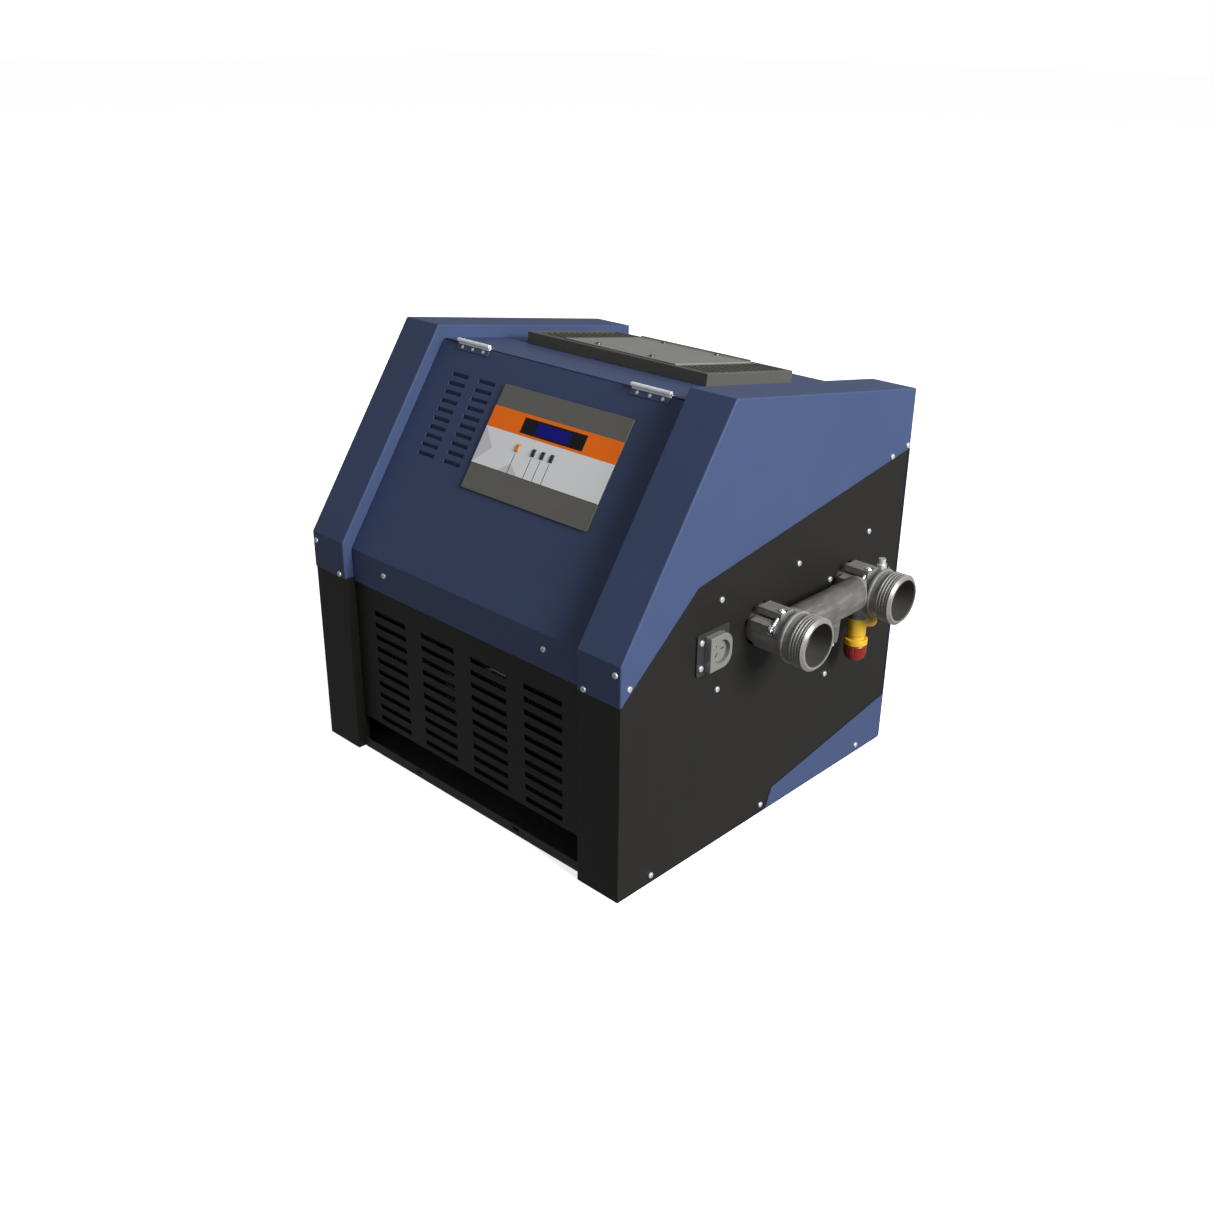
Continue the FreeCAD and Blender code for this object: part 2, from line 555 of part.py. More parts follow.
def hinge_screws(leaf):
    places = hinge_screw_places(leaf)
    blank = turned([(-4, 1.5), (0, 1.5), (0, HINGE_SCREW_HEAD), (0.5, HINGE_SCREW_HEAD), (1.3, 1.8)], V(0, 0, 0), Z)
    return [placed(blank, at, out) for at, out in places]


# ---------------------------------------------------------------- control panel on the door
def control_bezel():
    plate = box(PANEL_LEFT, PANEL_RIGHT, PANEL_BOTTOM, PANEL_TOP, 0, BEZEL_THICK)
    corners = [edge for edge in plate.Edges if edge.BoundBox.ZLength > BEZEL_THICK / 2]
    plate = plate.makeFillet(3, corners)
    window = box(LCD_LEFT, LCD_RIGHT, LCD_BOTTOM, LCD_TOP, -1, BEZEL_THICK + 1)
    posts = [rod(V(x, s, -PCB_FRONT), Z, 3, PCB_FRONT) for x in (-56, 146) for s in (194, 301)]
    return on_slope(fused([plate] + posts).cut([window] + key_holes()))


def key_holes():
    half_x, half_s = KEY_WIDTH / 2 + KEY_CLEARANCE, KEY_LENGTH / 2 + KEY_CLEARANCE
    return [box(x - half_x, x + half_x, KEY_ROW - half_s, KEY_ROW + half_s, -1, 9) for x in KEY_PLACES.values()]


def control_label():
    sheet = box(PANEL_LEFT, PANEL_RIGHT, LABEL_BOTTOM, LABEL_TOP, BEZEL_THICK, BEZEL_THICK + LABEL_THICK)
    window = box(LCD_LEFT, LCD_RIGHT, LCD_BOTTOM, LCD_TOP, -1, BEZEL_THICK + 1)
    return on_slope(sheet.cut([window] + key_holes()))


def lcd_window():
    return on_slope(box(LCD_LEFT, LCD_RIGHT, LCD_BOTTOM, LCD_TOP, 0, BEZEL_THICK + LABEL_THICK - 0.2))


def key(x):
    half_x, half_s = KEY_WIDTH / 2, KEY_LENGTH / 2
    cap = box(x - half_x, x + half_x, KEY_ROW - half_s, KEY_ROW + half_s, -1, BEZEL_THICK + LABEL_THICK + 1.2)
    corners = [edge for edge in cap.Edges if edge.BoundBox.ZLength > 2]
    cap = cap.makeFillet(2.5, corners)
    rim = [edge for edge in cap.Edges if edge.BoundBox.ZMin > 3]
    cap = cap.makeFillet(0.8, rim)
    flange = box(x - half_x - 1.5, x + half_x + 1.5, KEY_ROW - half_s - 1.5, KEY_ROW + half_s + 1.5, -2.2, -0.4)
    post = rod(V(x, KEY_ROW, -PCB_FRONT + KEY_TRAVEL + 0.4), Z, 1.6, PCB_FRONT - KEY_TRAVEL - 1.4)
    return on_slope(fused([cap, flange, post]))


def display_module():
    board = box(-62, 152, 188, 307, -PCB_FRONT - PCB_THICK, -PCB_FRONT)
    display = box(LCD_LEFT - 6, LCD_RIGHT + 6, LCD_BOTTOM - 4, LCD_TOP + 4, -PCB_FRONT, -0.4)
    relay = [box(x, x + 16, 196, 224, -PCB_FRONT - PCB_THICK - 12, -PCB_FRONT - PCB_THICK) for x in (-50, -25, 105, 130)]
    plug = box(0, 70, 194, 206, -PCB_FRONT - PCB_THICK - 9, -PCB_FRONT - PCB_THICK)
    return on_slope(fused([board, display, plug] + relay))


def control_rear_cover():
    outer = box(PANEL_LEFT + 3, PANEL_RIGHT - 3, PANEL_BOTTOM + 3, PANEL_TOP - 3, -34, -SHEET)
    inner = box(PANEL_LEFT + 5, PANEL_RIGHT - 5, PANEL_BOTTOM + 5, PANEL_TOP - 5, -32, 0)
    return on_slope(outer.cut(inner))


# ---------------------------------------------------------------- flue terminal
def flue_frame():
    rim = FLUE_RIM
    outer = box(FLUE_LEFT, FLUE_RIGHT, FLUE_FRONT, FLUE_REAR, 0, FLUE_HEIGHT)
    edges = [edge for edge in outer.Edges if edge.BoundBox.ZMax > 1]
    outer = outer.makeFillet(1.5, edges)
    hollow = box(FLUE_LEFT + SHEET, FLUE_RIGHT - SHEET, FLUE_FRONT + SHEET, FLUE_REAR - SHEET, -1, FLUE_HEIGHT - SHEET)
    spans = [(FLUE_LEFT + rim, FLUE_PLATE_LEFT - 3), (FLUE_PLATE_LEFT + 14, FLUE_PLATE_RIGHT - 14),
             (FLUE_PLATE_RIGHT + 3, FLUE_RIGHT - rim)]
    holes = [box(a, b, FLUE_FRONT + rim, FLUE_REAR - rim, 5, 30) for a, b in spans[::2]]
    holes.append(box(spans[1][0], spans[1][1], FLUE_FRONT + 35, FLUE_REAR - 45, 5, 30))
    return on_deck(drill(outer.cut(hollow).cut(holes), FLUE_SCREWS, HOLE))


FLUE_SCREWS = [(V((FLUE_PLATE_LEFT + FLUE_PLATE_RIGHT) / 2 + side * 58, along, FLUE_HEIGHT + FLUE_PLATE_THICK), Z)
               for side in (-1, 1) for along in (FLUE_FRONT + 22, FLUE_REAR - 32)]


def flue_cover_plate():
    front, rear = FLUE_FRONT + 7, FLUE_REAR - 20
    plate = box(FLUE_PLATE_LEFT, FLUE_PLATE_RIGHT, front, rear, FLUE_HEIGHT, FLUE_HEIGHT + FLUE_PLATE_THICK)
    lip = box(FLUE_PLATE_LEFT, FLUE_PLATE_RIGHT, rear - 2, rear, FLUE_HEIGHT, FLUE_HEIGHT + 5)
    return on_deck(drill(fused([plate, lip]), FLUE_SCREWS, HOLE))


def flue_grilles():
    top = FLUE_HEIGHT - SHEET
    grilles = []
    for x0, x1 in ((FLUE_LEFT + 2, FLUE_PLATE_LEFT + 8), (FLUE_PLATE_RIGHT - 8, FLUE_RIGHT - 2)):
        plate = box(x0, x1, FLUE_FRONT + 2, FLUE_REAR - 2, top - 2, top)
        count = 14
        pitch = (FLUE_LENGTH - 2 * FLUE_RIM - 6) / count
        slots = [box(x0 + 9, x1 - 13, FLUE_FRONT + FLUE_RIM + 5 + i * pitch, FLUE_FRONT + FLUE_RIM + 5 + (i + 0.6) * pitch,
                     top - 5, top + 5) for i in range(count)]
        grilles.append(on_deck(plate.cut(slots)))
    return Part.makeCompound(grilles)


def flue_screws():
    blank = screw_blank(shank=6)
    return Part.makeCompound([on_deck(blank.translated(at)) for at, out in FLUE_SCREWS])


def flue_collector():
    """Tapered hood from the top of the heat exchanger to the flue opening in the deck."""
    def skin(inset, stretch):
        low = Part.makePolygon([V(x, y, EXCHANGER_TOP - stretch) for x, y in (
            (CHAMBER_LEFT + inset, CHAMBER_FRONT + inset), (CHAMBER_RIGHT - inset, CHAMBER_FRONT + inset),
            (CHAMBER_RIGHT - inset, CHAMBER_REAR - inset), (CHAMBER_LEFT + inset, CHAMBER_REAR - inset),
            (CHAMBER_LEFT + inset, CHAMBER_FRONT + inset))])
        lift = -3 + stretch
        left, right = FLUE_LEFT + 20 + inset, FLUE_RIGHT - 20 - inset
        near, far = FLUE_FRONT + 20 + inset, FLUE_REAR - 20 - inset
        high = on_deck(Part.makePolygon([V(left, near, lift), V(right, near, lift), V(right, far, lift),
                                         V(left, far, lift), V(left, near, lift)]))
        return Part.makeLoft([low, high], True, True)
    return skin(0, 0).cut(skin(SHEET, 1))


# ---------------------------------------------------------------- water header
def port_profile():
    """Outside of one port as (distance from the collar's start, radius)."""
    step = COLLAR_LENGTH + PORT_STEP
    length = PORT_LENGTH
    root = PORT_RADIUS - THREAD_DEPTH
    profile = [(0, COLLAR_RADIUS - 1), (1, COLLAR_RADIUS), (COLLAR_LENGTH, COLLAR_RADIUS),
               (COLLAR_LENGTH + 1, PORT_RADIUS), (step, PORT_RADIUS), (step + 1, root - 1)]
    first = length - 5 - THREAD_RIDGES * THREAD_PITCH
    profile.append((first - 1, root - 1))
    for ridge in range(THREAD_RIDGES):
        start = first + ridge * THREAD_PITCH
        profile += [(start, root), (start + 1.2, PORT_RADIUS), (start + 2.8, PORT_RADIUS), (start + 4, root)]
    profile += [(length - 5, root), (length - 5, PORT_RADIUS), (length - 4, PORT_RADIUS + 0.5), (length, PORT_BORE + 3)]
    return profile


def port_lug(y):
    """Two clamp lugs beside the collar's split."""
    upper = box(COLLAR_START, COLLAR_START + LUG_LENGTH, y - 21, y + 8, PORT_HEIGHT + 20, PORT_HEIGHT + COLLAR_RADIUS + 3)
    spot = V(0, y - 29, PORT_HEIGHT + 22)
    lower = box(COLLAR_START, COLLAR_START + LUG_LENGTH, spot.y - 5, spot.y + 7, spot.z - 12, spot.z + 4)
    lower = lower.rotate(V(0, y, PORT_HEIGHT), X, 8)
    return [upper, lower]


def radial(y, angle, radius):
    """Direction and point on a port's section, the angle measured from the top to the front."""
    direction = V(0, -math.sin(angle), math.cos(angle))
    return direction, V(0, y, PORT_HEIGHT) + direction * radius


def water_header():
    solids = []
    for y in PORTS:
        solids.append(turned(port_profile(), V(COLLAR_START, y, PORT_HEIGHT), X))
        solids += port_lug(y)
    solids.append(rod(V(CROSS_X, PORTS[0], PORT_HEIGHT + 2), Y, CROSS_RADIUS, PORT_SPACING))
    solids.append(turned([(0, 16), (34, 16), (36, 14.5), (43, 14.5)], V(CROSS_X, RELIEF_Y, PORT_HEIGHT), -Z))
    solids.append(turned([(0, 15), (DRAIN_DROP - 8, 13), (DRAIN_DROP, 12)], V(CROSS_X, DRAIN_Y, PORT_HEIGHT), -Z))
    body = fused(solids)
    cuts = []
    for y in PORTS:
        at = V(COLLAR_START - 1, y, PORT_HEIGHT)
        cuts.append(rod(at, X, STUB_RADIUS + STUB_CLEARANCE, 28))
        cuts.append(rod(at, X, STUB_BORE, 80))
        cuts.append(rod(V(COLLAR_START + COLLAR_LENGTH, y, PORT_HEIGHT), X, PORT_BORE, 60))
        direction, middle = radial(y, LUG_ANGLE, 40)
        slit = box(0, 40, -2, 2, -12, 12)
        slit = slit.transformed(FreeCAD.Placement(V(COLLAR_START - 1, middle.y, middle.z),
                                                  FreeCAD.Rotation(X, math.degrees(LUG_ANGLE))).toMatrix(), True)
        cuts.append(slit)
        cuts.append(clamp_bolt_hole(y))
        direction, spot = radial(y, math.radians(77), COLLAR_RADIUS)
        pocket = box(-6, 6, -4, 4, -3, 3)
        pocket = pocket.transformed(FreeCAD.Placement(V(COLLAR_START + 43, spot.y, spot.z),
                                                      FreeCAD.Rotation(X, 77)).toMatrix(), True)
        cuts.append(pocket)
    seat = BYPASS_SEAT
    cuts.append(rod(V(CROSS_X, PORTS[0], PORT_HEIGHT + 2), Y, CROSS_BORE, seat - PORTS[0]))
    cuts.append(rod(V(CROSS_X, seat + 5, PORT_HEIGHT + 2), Y, CROSS_BORE, PORTS[1] - seat - 5))
    cuts.append(rod(V(CROSS_X, seat - 1, PORT_HEIGHT + 2), Y, BYPASS_HOLE, 8))
    cuts.append(rod(V(CROSS_X, RELIEF_Y, PORT_HEIGHT), -Z, 7, 60))
    cuts.append(rod(V(CROSS_X, DRAIN_Y, PORT_HEIGHT), -Z, 6, 90))
    cuts += [rod(SENSOR_AT + Z, -Z, 5, 30), rod(SENSOR_AT + Z * 0.5, Z, 9.2, 12)]
    body = body.cut(cuts)
    guide = rod(V(CROSS_X, GUIDE_Y, PORT_HEIGHT + 2), Y, 7, 5)
    arms = [box(CROSS_X - CROSS_BORE - 1, CROSS_X + CROSS_BORE + 1, GUIDE_Y, GUIDE_Y + 5, PORT_HEIGHT, PORT_HEIGHT + 4),
            box(CROSS_X - 2, CROSS_X + 2, GUIDE_Y, GUIDE_Y + 5, PORT_HEIGHT + 2 - CROSS_BORE - 1, PORT_HEIGHT + 3 + CROSS_BORE)]
    spider = fused([guide] + arms).cut(rod(V(CROSS_X, GUIDE_Y - 1, PORT_HEIGHT + 2), Y, STEM_RADIUS + 0.08, 8))
    return fused([body, spider])


def clamp_bolt_line(y):
    """Point on the clamp bolt's head seat and its direction, square to the split."""
    direction, middle = radial(y, LUG_ANGLE, COLLAR_RADIUS + 0.5)
    along = V(0, math.cos(LUG_ANGLE), math.sin(LUG_ANGLE))
    return V(CLAMP_BOLT_X, middle.y, middle.z), along


def clamp_bolt_hole(y):
    """Clearance hole with flat seats for the bolt's head and nut."""
    middle, along = clamp_bolt_line(y)
    hole = rod(middle - along * 16, along, 2.7, 32)
    seats = [rod(middle + along * 13, along, 6, 12), rod(middle - along * 13, along * -1, 6, 12)]
    return fused([hole] + seats)


def clamp_bolts():
    bolts = []
    for y in PORTS:
        middle, along = clamp_bolt_line(y)
        head = hexagon(middle + along * 13, along, 9, 4)
        nut = hexagon(middle - along * 13, along * -1, 9, 4.5)
        shank = rod(middle - along * 19, along, 2.5, 34)
        bolts.append(fused([head, nut, shank]))
    return Part.makeCompound(bolts)


def bypass_poppet():
    seat = BYPASS_SEAT + 5
    at = V(CROSS_X, seat + 0.2, PORT_HEIGHT + 2)
    stem = GUIDE_Y - seat + 2
    return turned([(0, 16.5), (3, 17), (4, 8), (5, STEM_RADIUS), (stem, STEM_RADIUS), (stem + 1, 2)], at, Y)


def bypass_spring():
    """Coil between the poppet's disc and the guide."""
    start = BYPASS_SEAT + 5 + 0.2 + 5.0
    wire = 0.9
    length = GUIDE_Y - start - 2 * wire - 0.6
    helix = Part.makeHelix(length / 6, length, 6.0)
    section = Part.Wire(Part.makeCircle(wire, V(6.0, 0, 0), Y))
    coil = Part.Wire(helix.Edges).makePipeShell([section], True, True)
    return placed(coil, V(CROSS_X, start + wire + 0.3, PORT_HEIGHT + 2), Y)


def drain_plug():
    at = V(CROSS_X, DRAIN_Y, PORT_HEIGHT - DRAIN_DROP)
    return fused([hexagon(at, -Z, 15, 7), rod(at, Z, 5.9, 14)])


def port_sensor():
    at = SENSOR_AT
    return fused([rod(at + Z * -6, Z, 4.9, 8), hexagon(at + Z * 0.5, Z, 15, 9), rod(at + Z * 9.5, Z, 5.5, 9)])


def relief_valve_body():
    top = V(CROSS_X, RELIEF_Y, PORT_HEIGHT - 43)
    ring = RELIEF_BODY - 10
    body = turned([(0, 15), (2, 15), (3, 14.5), (ring - 7, 14.5), (ring - 5, 13), (ring, 13), (ring, 17.5),
                   (ring + 1, 18.5), (ring + 9, 18.5), (RELIEF_BODY, 17.5), (RELIEF_BODY, RELIEF_STEM),
                   (RELIEF_BODY + 10.5, RELIEF_STEM)], top, -Z)
    spigot = rod(top, Z, 6.9, 14)
    spout_at = top - Z * 14
    spout = rod(spout_at, Y, 9.5, 36)
    bore = [rod(spout_at + Y * 8, Y, 7, 40), rod(top + Z * 15, -Z, 4, 34)]
    return fused([body, spout, spigot]).cut(bore)


def relief_valve_knob():
    top = V(CROSS_X, RELIEF_Y, PORT_HEIGHT - 43 - RELIEF_BODY - 0.3)
    cap = turned([(0, 18), (1, 18.6), (14, 18), (22, 16), (26, 12)], top, -Z)
    grooves = []
    for index in range(12):
        angle = math.radians(30 * index)
        grooves.append(rod(top + V(19.6 * math.cos(angle), 19.6 * math.sin(angle), -2), -Z, 1.9, 30))
    return cap.cut(grooves + [rod(top + Z, -Z, RELIEF_STEM + 0.06, 13)])


# ---------------------------------------------------------------- pump outlet
SOCKET_SCREWS = [(V(SIDE - SHEET + 3, SOCKET_Y - 32, SOCKET_Z + dz), X) for dz in (-20, 20)]


def pump_socket_flange():
    x0, x1 = SIDE - SHEET, SIDE - SHEET + 3
    plate = box(x0, x1, SOCKET_Y - 40, SOCKET_Y + 30, SOCKET_Z - 33, SOCKET_Z + 33)
    corners = [edge for edge in plate.Edges if edge.BoundBox.XLength > 2]
    plate = plate.makeFillet(5, corners)
    hole = box(x0 - 1, x1 + 1, SOCKET_Y - 21.5, SOCKET_Y + 19.5, SOCKET_Z - 23.5, SOCKET_Z + 23.5)
    return drill(plate.cut(hole), SOCKET_SCREWS, HOLE)


def pump_socket():
    x0 = SIDE - SHEET + 3
    half_w, half_h = SOCKET_WIDTH / 2, SOCKET_HEIGHT / 2
    body = box(x0, x0 + SOCKET_PROUD, SOCKET_Y - half_w, SOCKET_Y + half_w, SOCKET_Z - half_h, SOCKET_Z + half_h)
    rear_edges = [edge for edge in body.Edges
                  if edge.BoundBox.XLength > SOCKET_PROUD / 2 and edge.BoundBox.YMin > SOCKET_Y]
    body = body.makeFillet(20, rear_edges)
    face = [edge for edge in body.Edges if edge.BoundBox.XMin > x0 + SOCKET_PROUD - 0.5]
    body = body.makeFillet(1.5, face)
    neck = box(SIDE - 35, x0, SOCKET_Y - 21, SOCKET_Y + 19, SOCKET_Z - 23, SOCKET_Z + 23)
    recess = rod(V(x0 + SOCKET_PROUD - 7, SOCKET_Y, SOCKET_Z), X, SOCKET_RECESS, 20)
    pins = []
    for angle in (0, 120, 240):
        slot = box(-1.2, 1.2, 5, 12.5, -14, 1)
        turn = FreeCAD.Placement(V(x0 + SOCKET_PROUD - 7, SOCKET_Y, SOCKET_Z),
                                 FreeCAD.Rotation(X, angle).multiply(FreeCAD.Rotation(Y, 90))).toMatrix()
        pins.append(slot.transformed(turn, True))
    return fused([body, neck]).cut([recess] + pins)


# ---------------------------------------------------------------- heat exchanger
def tube_places():
    first, last = CHAMBER_FRONT + 30, CHAMBER_REAR - 30
    return [first + i * (last - first) / (TUBE_COUNT - 1) for i in range(TUBE_COUNT)]


def exchanger_tubes():
    tubes = [tube(V(-TUBE_END, y, PORT_HEIGHT), X, TUBE_RADIUS, TUBE_RADIUS - TUBE_WALL, 2 * TUBE_END)
             for y in tube_places()]
    return Part.makeCompound(tubes)


def exchanger_fins():
    holes = [rod(V(-TUBE_END, y, PORT_HEIGHT), X, TUBE_RADIUS + 0.05, 2 * TUBE_END) for y in tube_places()]
    plates = []
    span = CHAMBER_RIGHT - CHAMBER_LEFT - 40
    for index in range(FIN_COUNT):
        x = CHAMBER_LEFT + 20 + index * span / (FIN_COUNT - 1)
        plate = box(x - 0.5, x + 0.5, CHAMBER_FRONT + 10, CHAMBER_REAR - 10, EXCHANGER_LOW + 4, EXCHANGER_TOP - 4)
        plates.append(plate.cut(holes))
    return Part.makeCompound(plates)


def exchanger_frame():
    """Tube sheets at both ends, joined by front and rear rails."""
    outer = box(CHAMBER_LEFT - 10, CHAMBER_RIGHT + 10, CHAMBER_FRONT, CHAMBER_REAR, EXCHANGER_LOW, EXCHANGER_TOP)
    inner = box(CHAMBER_LEFT, CHAMBER_RIGHT, CHAMBER_FRONT + 3, CHAMBER_REAR - 3, EXCHANGER_LOW - 1, EXCHANGER_TOP + 1)
    holes = [rod(V(-TUBE_END - 5, y, PORT_HEIGHT), X, TUBE_RADIUS + 0.05, 2 * TUBE_END + 10) for y in tube_places()]
    return outer.cut([inner] + holes)


def water_tank(side):
    """Water box that joins the tubes' ends: the right one has the two stubs and a divider."""
    x0 = TUBE_END
    outer = box(x0, x0 + TANK_WIDTH, CHAMBER_FRONT + 5, CHAMBER_REAR - 5, PORT_HEIGHT - 27, PORT_HEIGHT + 27)
    inner = box(x0 - 1, x0 + TANK_WIDTH - 6, CHAMBER_FRONT + 12, CHAMBER_REAR - 12, PORT_HEIGHT - 20, PORT_HEIGHT + 20)
    if side == "left":
        return mirrored(outer.cut(inner))
    divider = box(x0, x0 + TANK_WIDTH - 3, PORT_CENTRE_Y - 4, PORT_CENTRE_Y + 4, PORT_HEIGHT - 22, PORT_HEIGHT + 22)
    stub_length = COLLAR_START + 25 - x0 - TANK_WIDTH + 6
    stubs = [rod(V(x0 + TANK_WIDTH - 6, y, PORT_HEIGHT), X, STUB_RADIUS, stub_length) for y in PORTS]
    bores = [rod(V(x0 + TANK_WIDTH - 8, y, PORT_HEIGHT), X, STUB_BORE, stub_length + 10) for y in PORTS]
    grooves = [tube(V(COLLAR_START + 8, y, PORT_HEIGHT), X, STUB_RADIUS + 1, STUB_RADIUS - 2.4, 4) for y in PORTS]
    tap = rod(V(x0 + 17, SWITCH_Y, PORT_HEIGHT + 15), Z, 4, 20)
    return fused([fused([outer.cut(inner), divider])] + stubs).cut(bores + grooves + [tap])


def stub_seals():
    rings = []
    for y in PORTS:
        rings.append(Part.makeTorus(STUB_RADIUS - 1.1, 1.25, V(COLLAR_START + 10, y, PORT_HEIGHT), X))
    return Part.makeCompound(rings)


def pressure_switch():
    at = V(TUBE_END + 17, SWITCH_Y, PORT_HEIGHT + 27)
    return fused([rod(at - Z * 6, Z, 3.9, 8), hexagon(at, Z, 17, 8), rod(at + Z * 8, Z, 13, 18)])


# ---------------------------------------------------------------- combustion
def burner_places():
    first, last = CHAMBER_LEFT + 45, CHAMBER_RIGHT - 45
    return [first + i * (last - first) / (BURNER_COUNT - 1) for i in range(BURNER_COUNT)]


def burner_holes(radius):
    return [rod(V(x, CHAMBER_FRONT - 20, BURNER_HEIGHT), Y, radius, 60) for x in burner_places()]


def combustion_chamber():
    outer = box(CHAMBER_LEFT, CHAMBER_RIGHT, CHAMBER_FRONT, CHAMBER_REAR, 2, CHAMBER_TOP)
    inner = box(CHAMBER_LEFT + SHEET, CHAMBER_RIGHT - SHEET, CHAMBER_FRONT + SHEET, CHAMBER_REAR - SHEET, 0, 400)
    legs = [box(CHAMBER_LEFT + 40, CHAMBER_RIGHT - 40, CHAMBER_FRONT - 5, CHAMBER_REAR + 5, 12, 115),
            box(CHAMBER_LEFT - 5, CHAMBER_RIGHT + 5, CHAMBER_FRONT + 40, CHAMBER_REAR - 40, 12, 115)]
    shelf_outer = box(CHAMBER_LEFT + 1, CHAMBER_RIGHT - 1, CHAMBER_FRONT + 1, CHAMBER_REAR - 1, 120, 121.5)
    vents = [box(x - 12, x + 12, CHAMBER_FRONT + 30, CHAMBER_REAR - 30, 118, 125) for x in burner_places()]
    duct = box(FAN_X + 4, FAN_X + FAN_WIDTH - 4, CHAMBER_FRONT - 5, CHAMBER_FRONT + 5, FAN_Z - 50, FAN_Z - 20)
    spark = rod(V(IGNITER_X, CHAMBER_FRONT - 5, BURNER_HEIGHT + 30), Y, 5, 20)
    shell = fused([outer.cut([inner] + legs), shelf_outer.cut(vents)])
    return shell.cut(burner_holes(BURNER_RADIUS + 0.2) + [duct, spark])


def chamber_liner():
    outer = box(CHAMBER_LEFT + SHEET, CHAMBER_RIGHT - SHEET, CHAMBER_FRONT + SHEET, CHAMBER_REAR - SHEET, 121.5, CHAMBER_TOP)
    inner = box(CHAMBER_LEFT + LINER, CHAMBER_RIGHT - LINER, CHAMBER_FRONT + LINER, CHAMBER_REAR - LINER, 100, 400)
    duct = box(FAN_X + 4, FAN_X + FAN_WIDTH - 4, CHAMBER_FRONT - 5, CHAMBER_FRONT + LINER + 5, FAN_Z - 50, FAN_Z - 20)
    spark = rod(V(IGNITER_X, CHAMBER_FRONT - 5, BURNER_HEIGHT + 30), Y, 5, 40)
    return outer.cut([inner, duct, spark] + burner_holes(BURNER_RADIUS + 0.2))


def burner_tubes():
    tubes = []
    for x in burner_places():
        start = CHAMBER_FRONT - 15
        length = CHAMBER_REAR - LINER - 4 - start
        pipe = rod(V(x, start, BURNER_HEIGHT), Y, BURNER_RADIUS, length)
        pipe = pipe.cut(rod(V(x, start - 1, BURNER_HEIGHT), Y, BURNER_RADIUS - 1.5, length - 4))
        slots = [box(x - 8, x + 8, CHAMBER_FRONT + 35 + 20 * i, CHAMBER_FRONT + 39 + 20 * i,
                     BURNER_HEIGHT + 5, BURNER_HEIGHT + 20) for i in range(14)]
        tubes.append(pipe.cut(slots))
    return Part.makeCompound(tubes)


def gas_manifold():
    right = burner_places()[-1] + 20
    pipe = rod(V(VALVE_RIGHT, GAS_Y, BURNER_HEIGHT), X, 10, right - VALVE_RIGHT)
    nozzles = [turned([(8, 6), (20, 6), (26, 3), (34, 3)], V(x, GAS_Y, BURNER_HEIGHT), Y) for x in burner_places()]
    bore = rod(V(VALVE_RIGHT - 1, GAS_Y, BURNER_HEIGHT), X, 7.5, right - VALVE_RIGHT - 4)
    jets = [rod(V(x, GAS_Y, BURNER_HEIGHT), Y, 1, 40) for x in burner_places()]
    return fused([pipe] + nozzles).cut([bore] + jets)


def gas_valve():
    x1 = VALVE_RIGHT
    x0 = x1 - VALVE_WIDTH
    body = box(x0, x1, GAS_Y - 24, GAS_Y + 24, BURNER_HEIGHT - 26, BURNER_HEIGHT + 26)
    edges = [edge for edge in body.Edges if edge.BoundBox.XLength > VALVE_WIDTH / 2]
    body = body.makeFillet(6, edges)
    coil = rod(V(x0 + 46, GAS_Y, BURNER_HEIGHT + 25), Z, 15, 28)
    stem = rod(V(x0 + 20, GAS_Y - 40, BURNER_HEIGHT + 6), Y, 4, 18)
    bore = rod(V(x0 - 1, GAS_Y, BURNER_HEIGHT), X, 7.5, VALVE_WIDTH + 2)
    return fused([body, coil, stem]).cut(bore)


def gas_valve_knob():
    x0 = VALVE_RIGHT - VALVE_WIDTH
    at = V(x0 + 20, GAS_Y - 24.5, BURNER_HEIGHT + 6)
    cap = turned([(0, 13), (10, 13), (12, 11)], at, -Y)
    grip = box(at.x - 3, at.x + 3, at.y - 18, at.y - 10, at.z - 11, at.z + 11)
    return fused([cap, grip]).cut(rod(at + Y, -Y, 4.06, 18))


def gas_inlet_pipe():
    inner_end = VALVE_RIGHT - VALVE_WIDTH
    return tube(V(-SIDE - GAS_PROUD, GAS_Y, BURNER_HEIGHT), X, GAS_PIPE_RADIUS, 10.5, inner_end + SIDE + GAS_PROUD)


def igniter():
    at = V(IGNITER_X, CHAMBER_FRONT, BURNER_HEIGHT + 30)
    plate = box(at.x - 14, at.x + 14, at.y - 2, at.y, at.z - 10, at.z + 10)
    return fused([plate, rod(at - Y * 28, Y, 4.5, 60), rod(at + Y * 32, Y, 1.5, 14)])


def fan_housing():
    outer = rod(V(FAN_X, FAN_Y, FAN_Z), X, FAN_RADIUS, FAN_WIDTH)
    duct = box(FAN_X, FAN_X + FAN_WIDTH, FAN_Y, CHAMBER_FRONT, FAN_Z - 54, FAN_Z - 16)
    inner = rod(V(FAN_X + 2, FAN_Y, FAN_Z), X, FAN_RADIUS - 2, FAN_WIDTH - 4)
    passage = box(FAN_X + 2, FAN_X + FAN_WIDTH - 2, FAN_Y, CHAMBER_FRONT + 5, FAN_Z - 52, FAN_Z - 18)
    inlet = rod(V(FAN_X - 5, FAN_Y, FAN_Z), X, 38, 10)
    shaft = rod(V(FAN_X + FAN_WIDTH - 5, FAN_Y, FAN_Z), X, 8, 10)
    return fused([outer, duct]).cut([inner, passage, inlet, shaft])


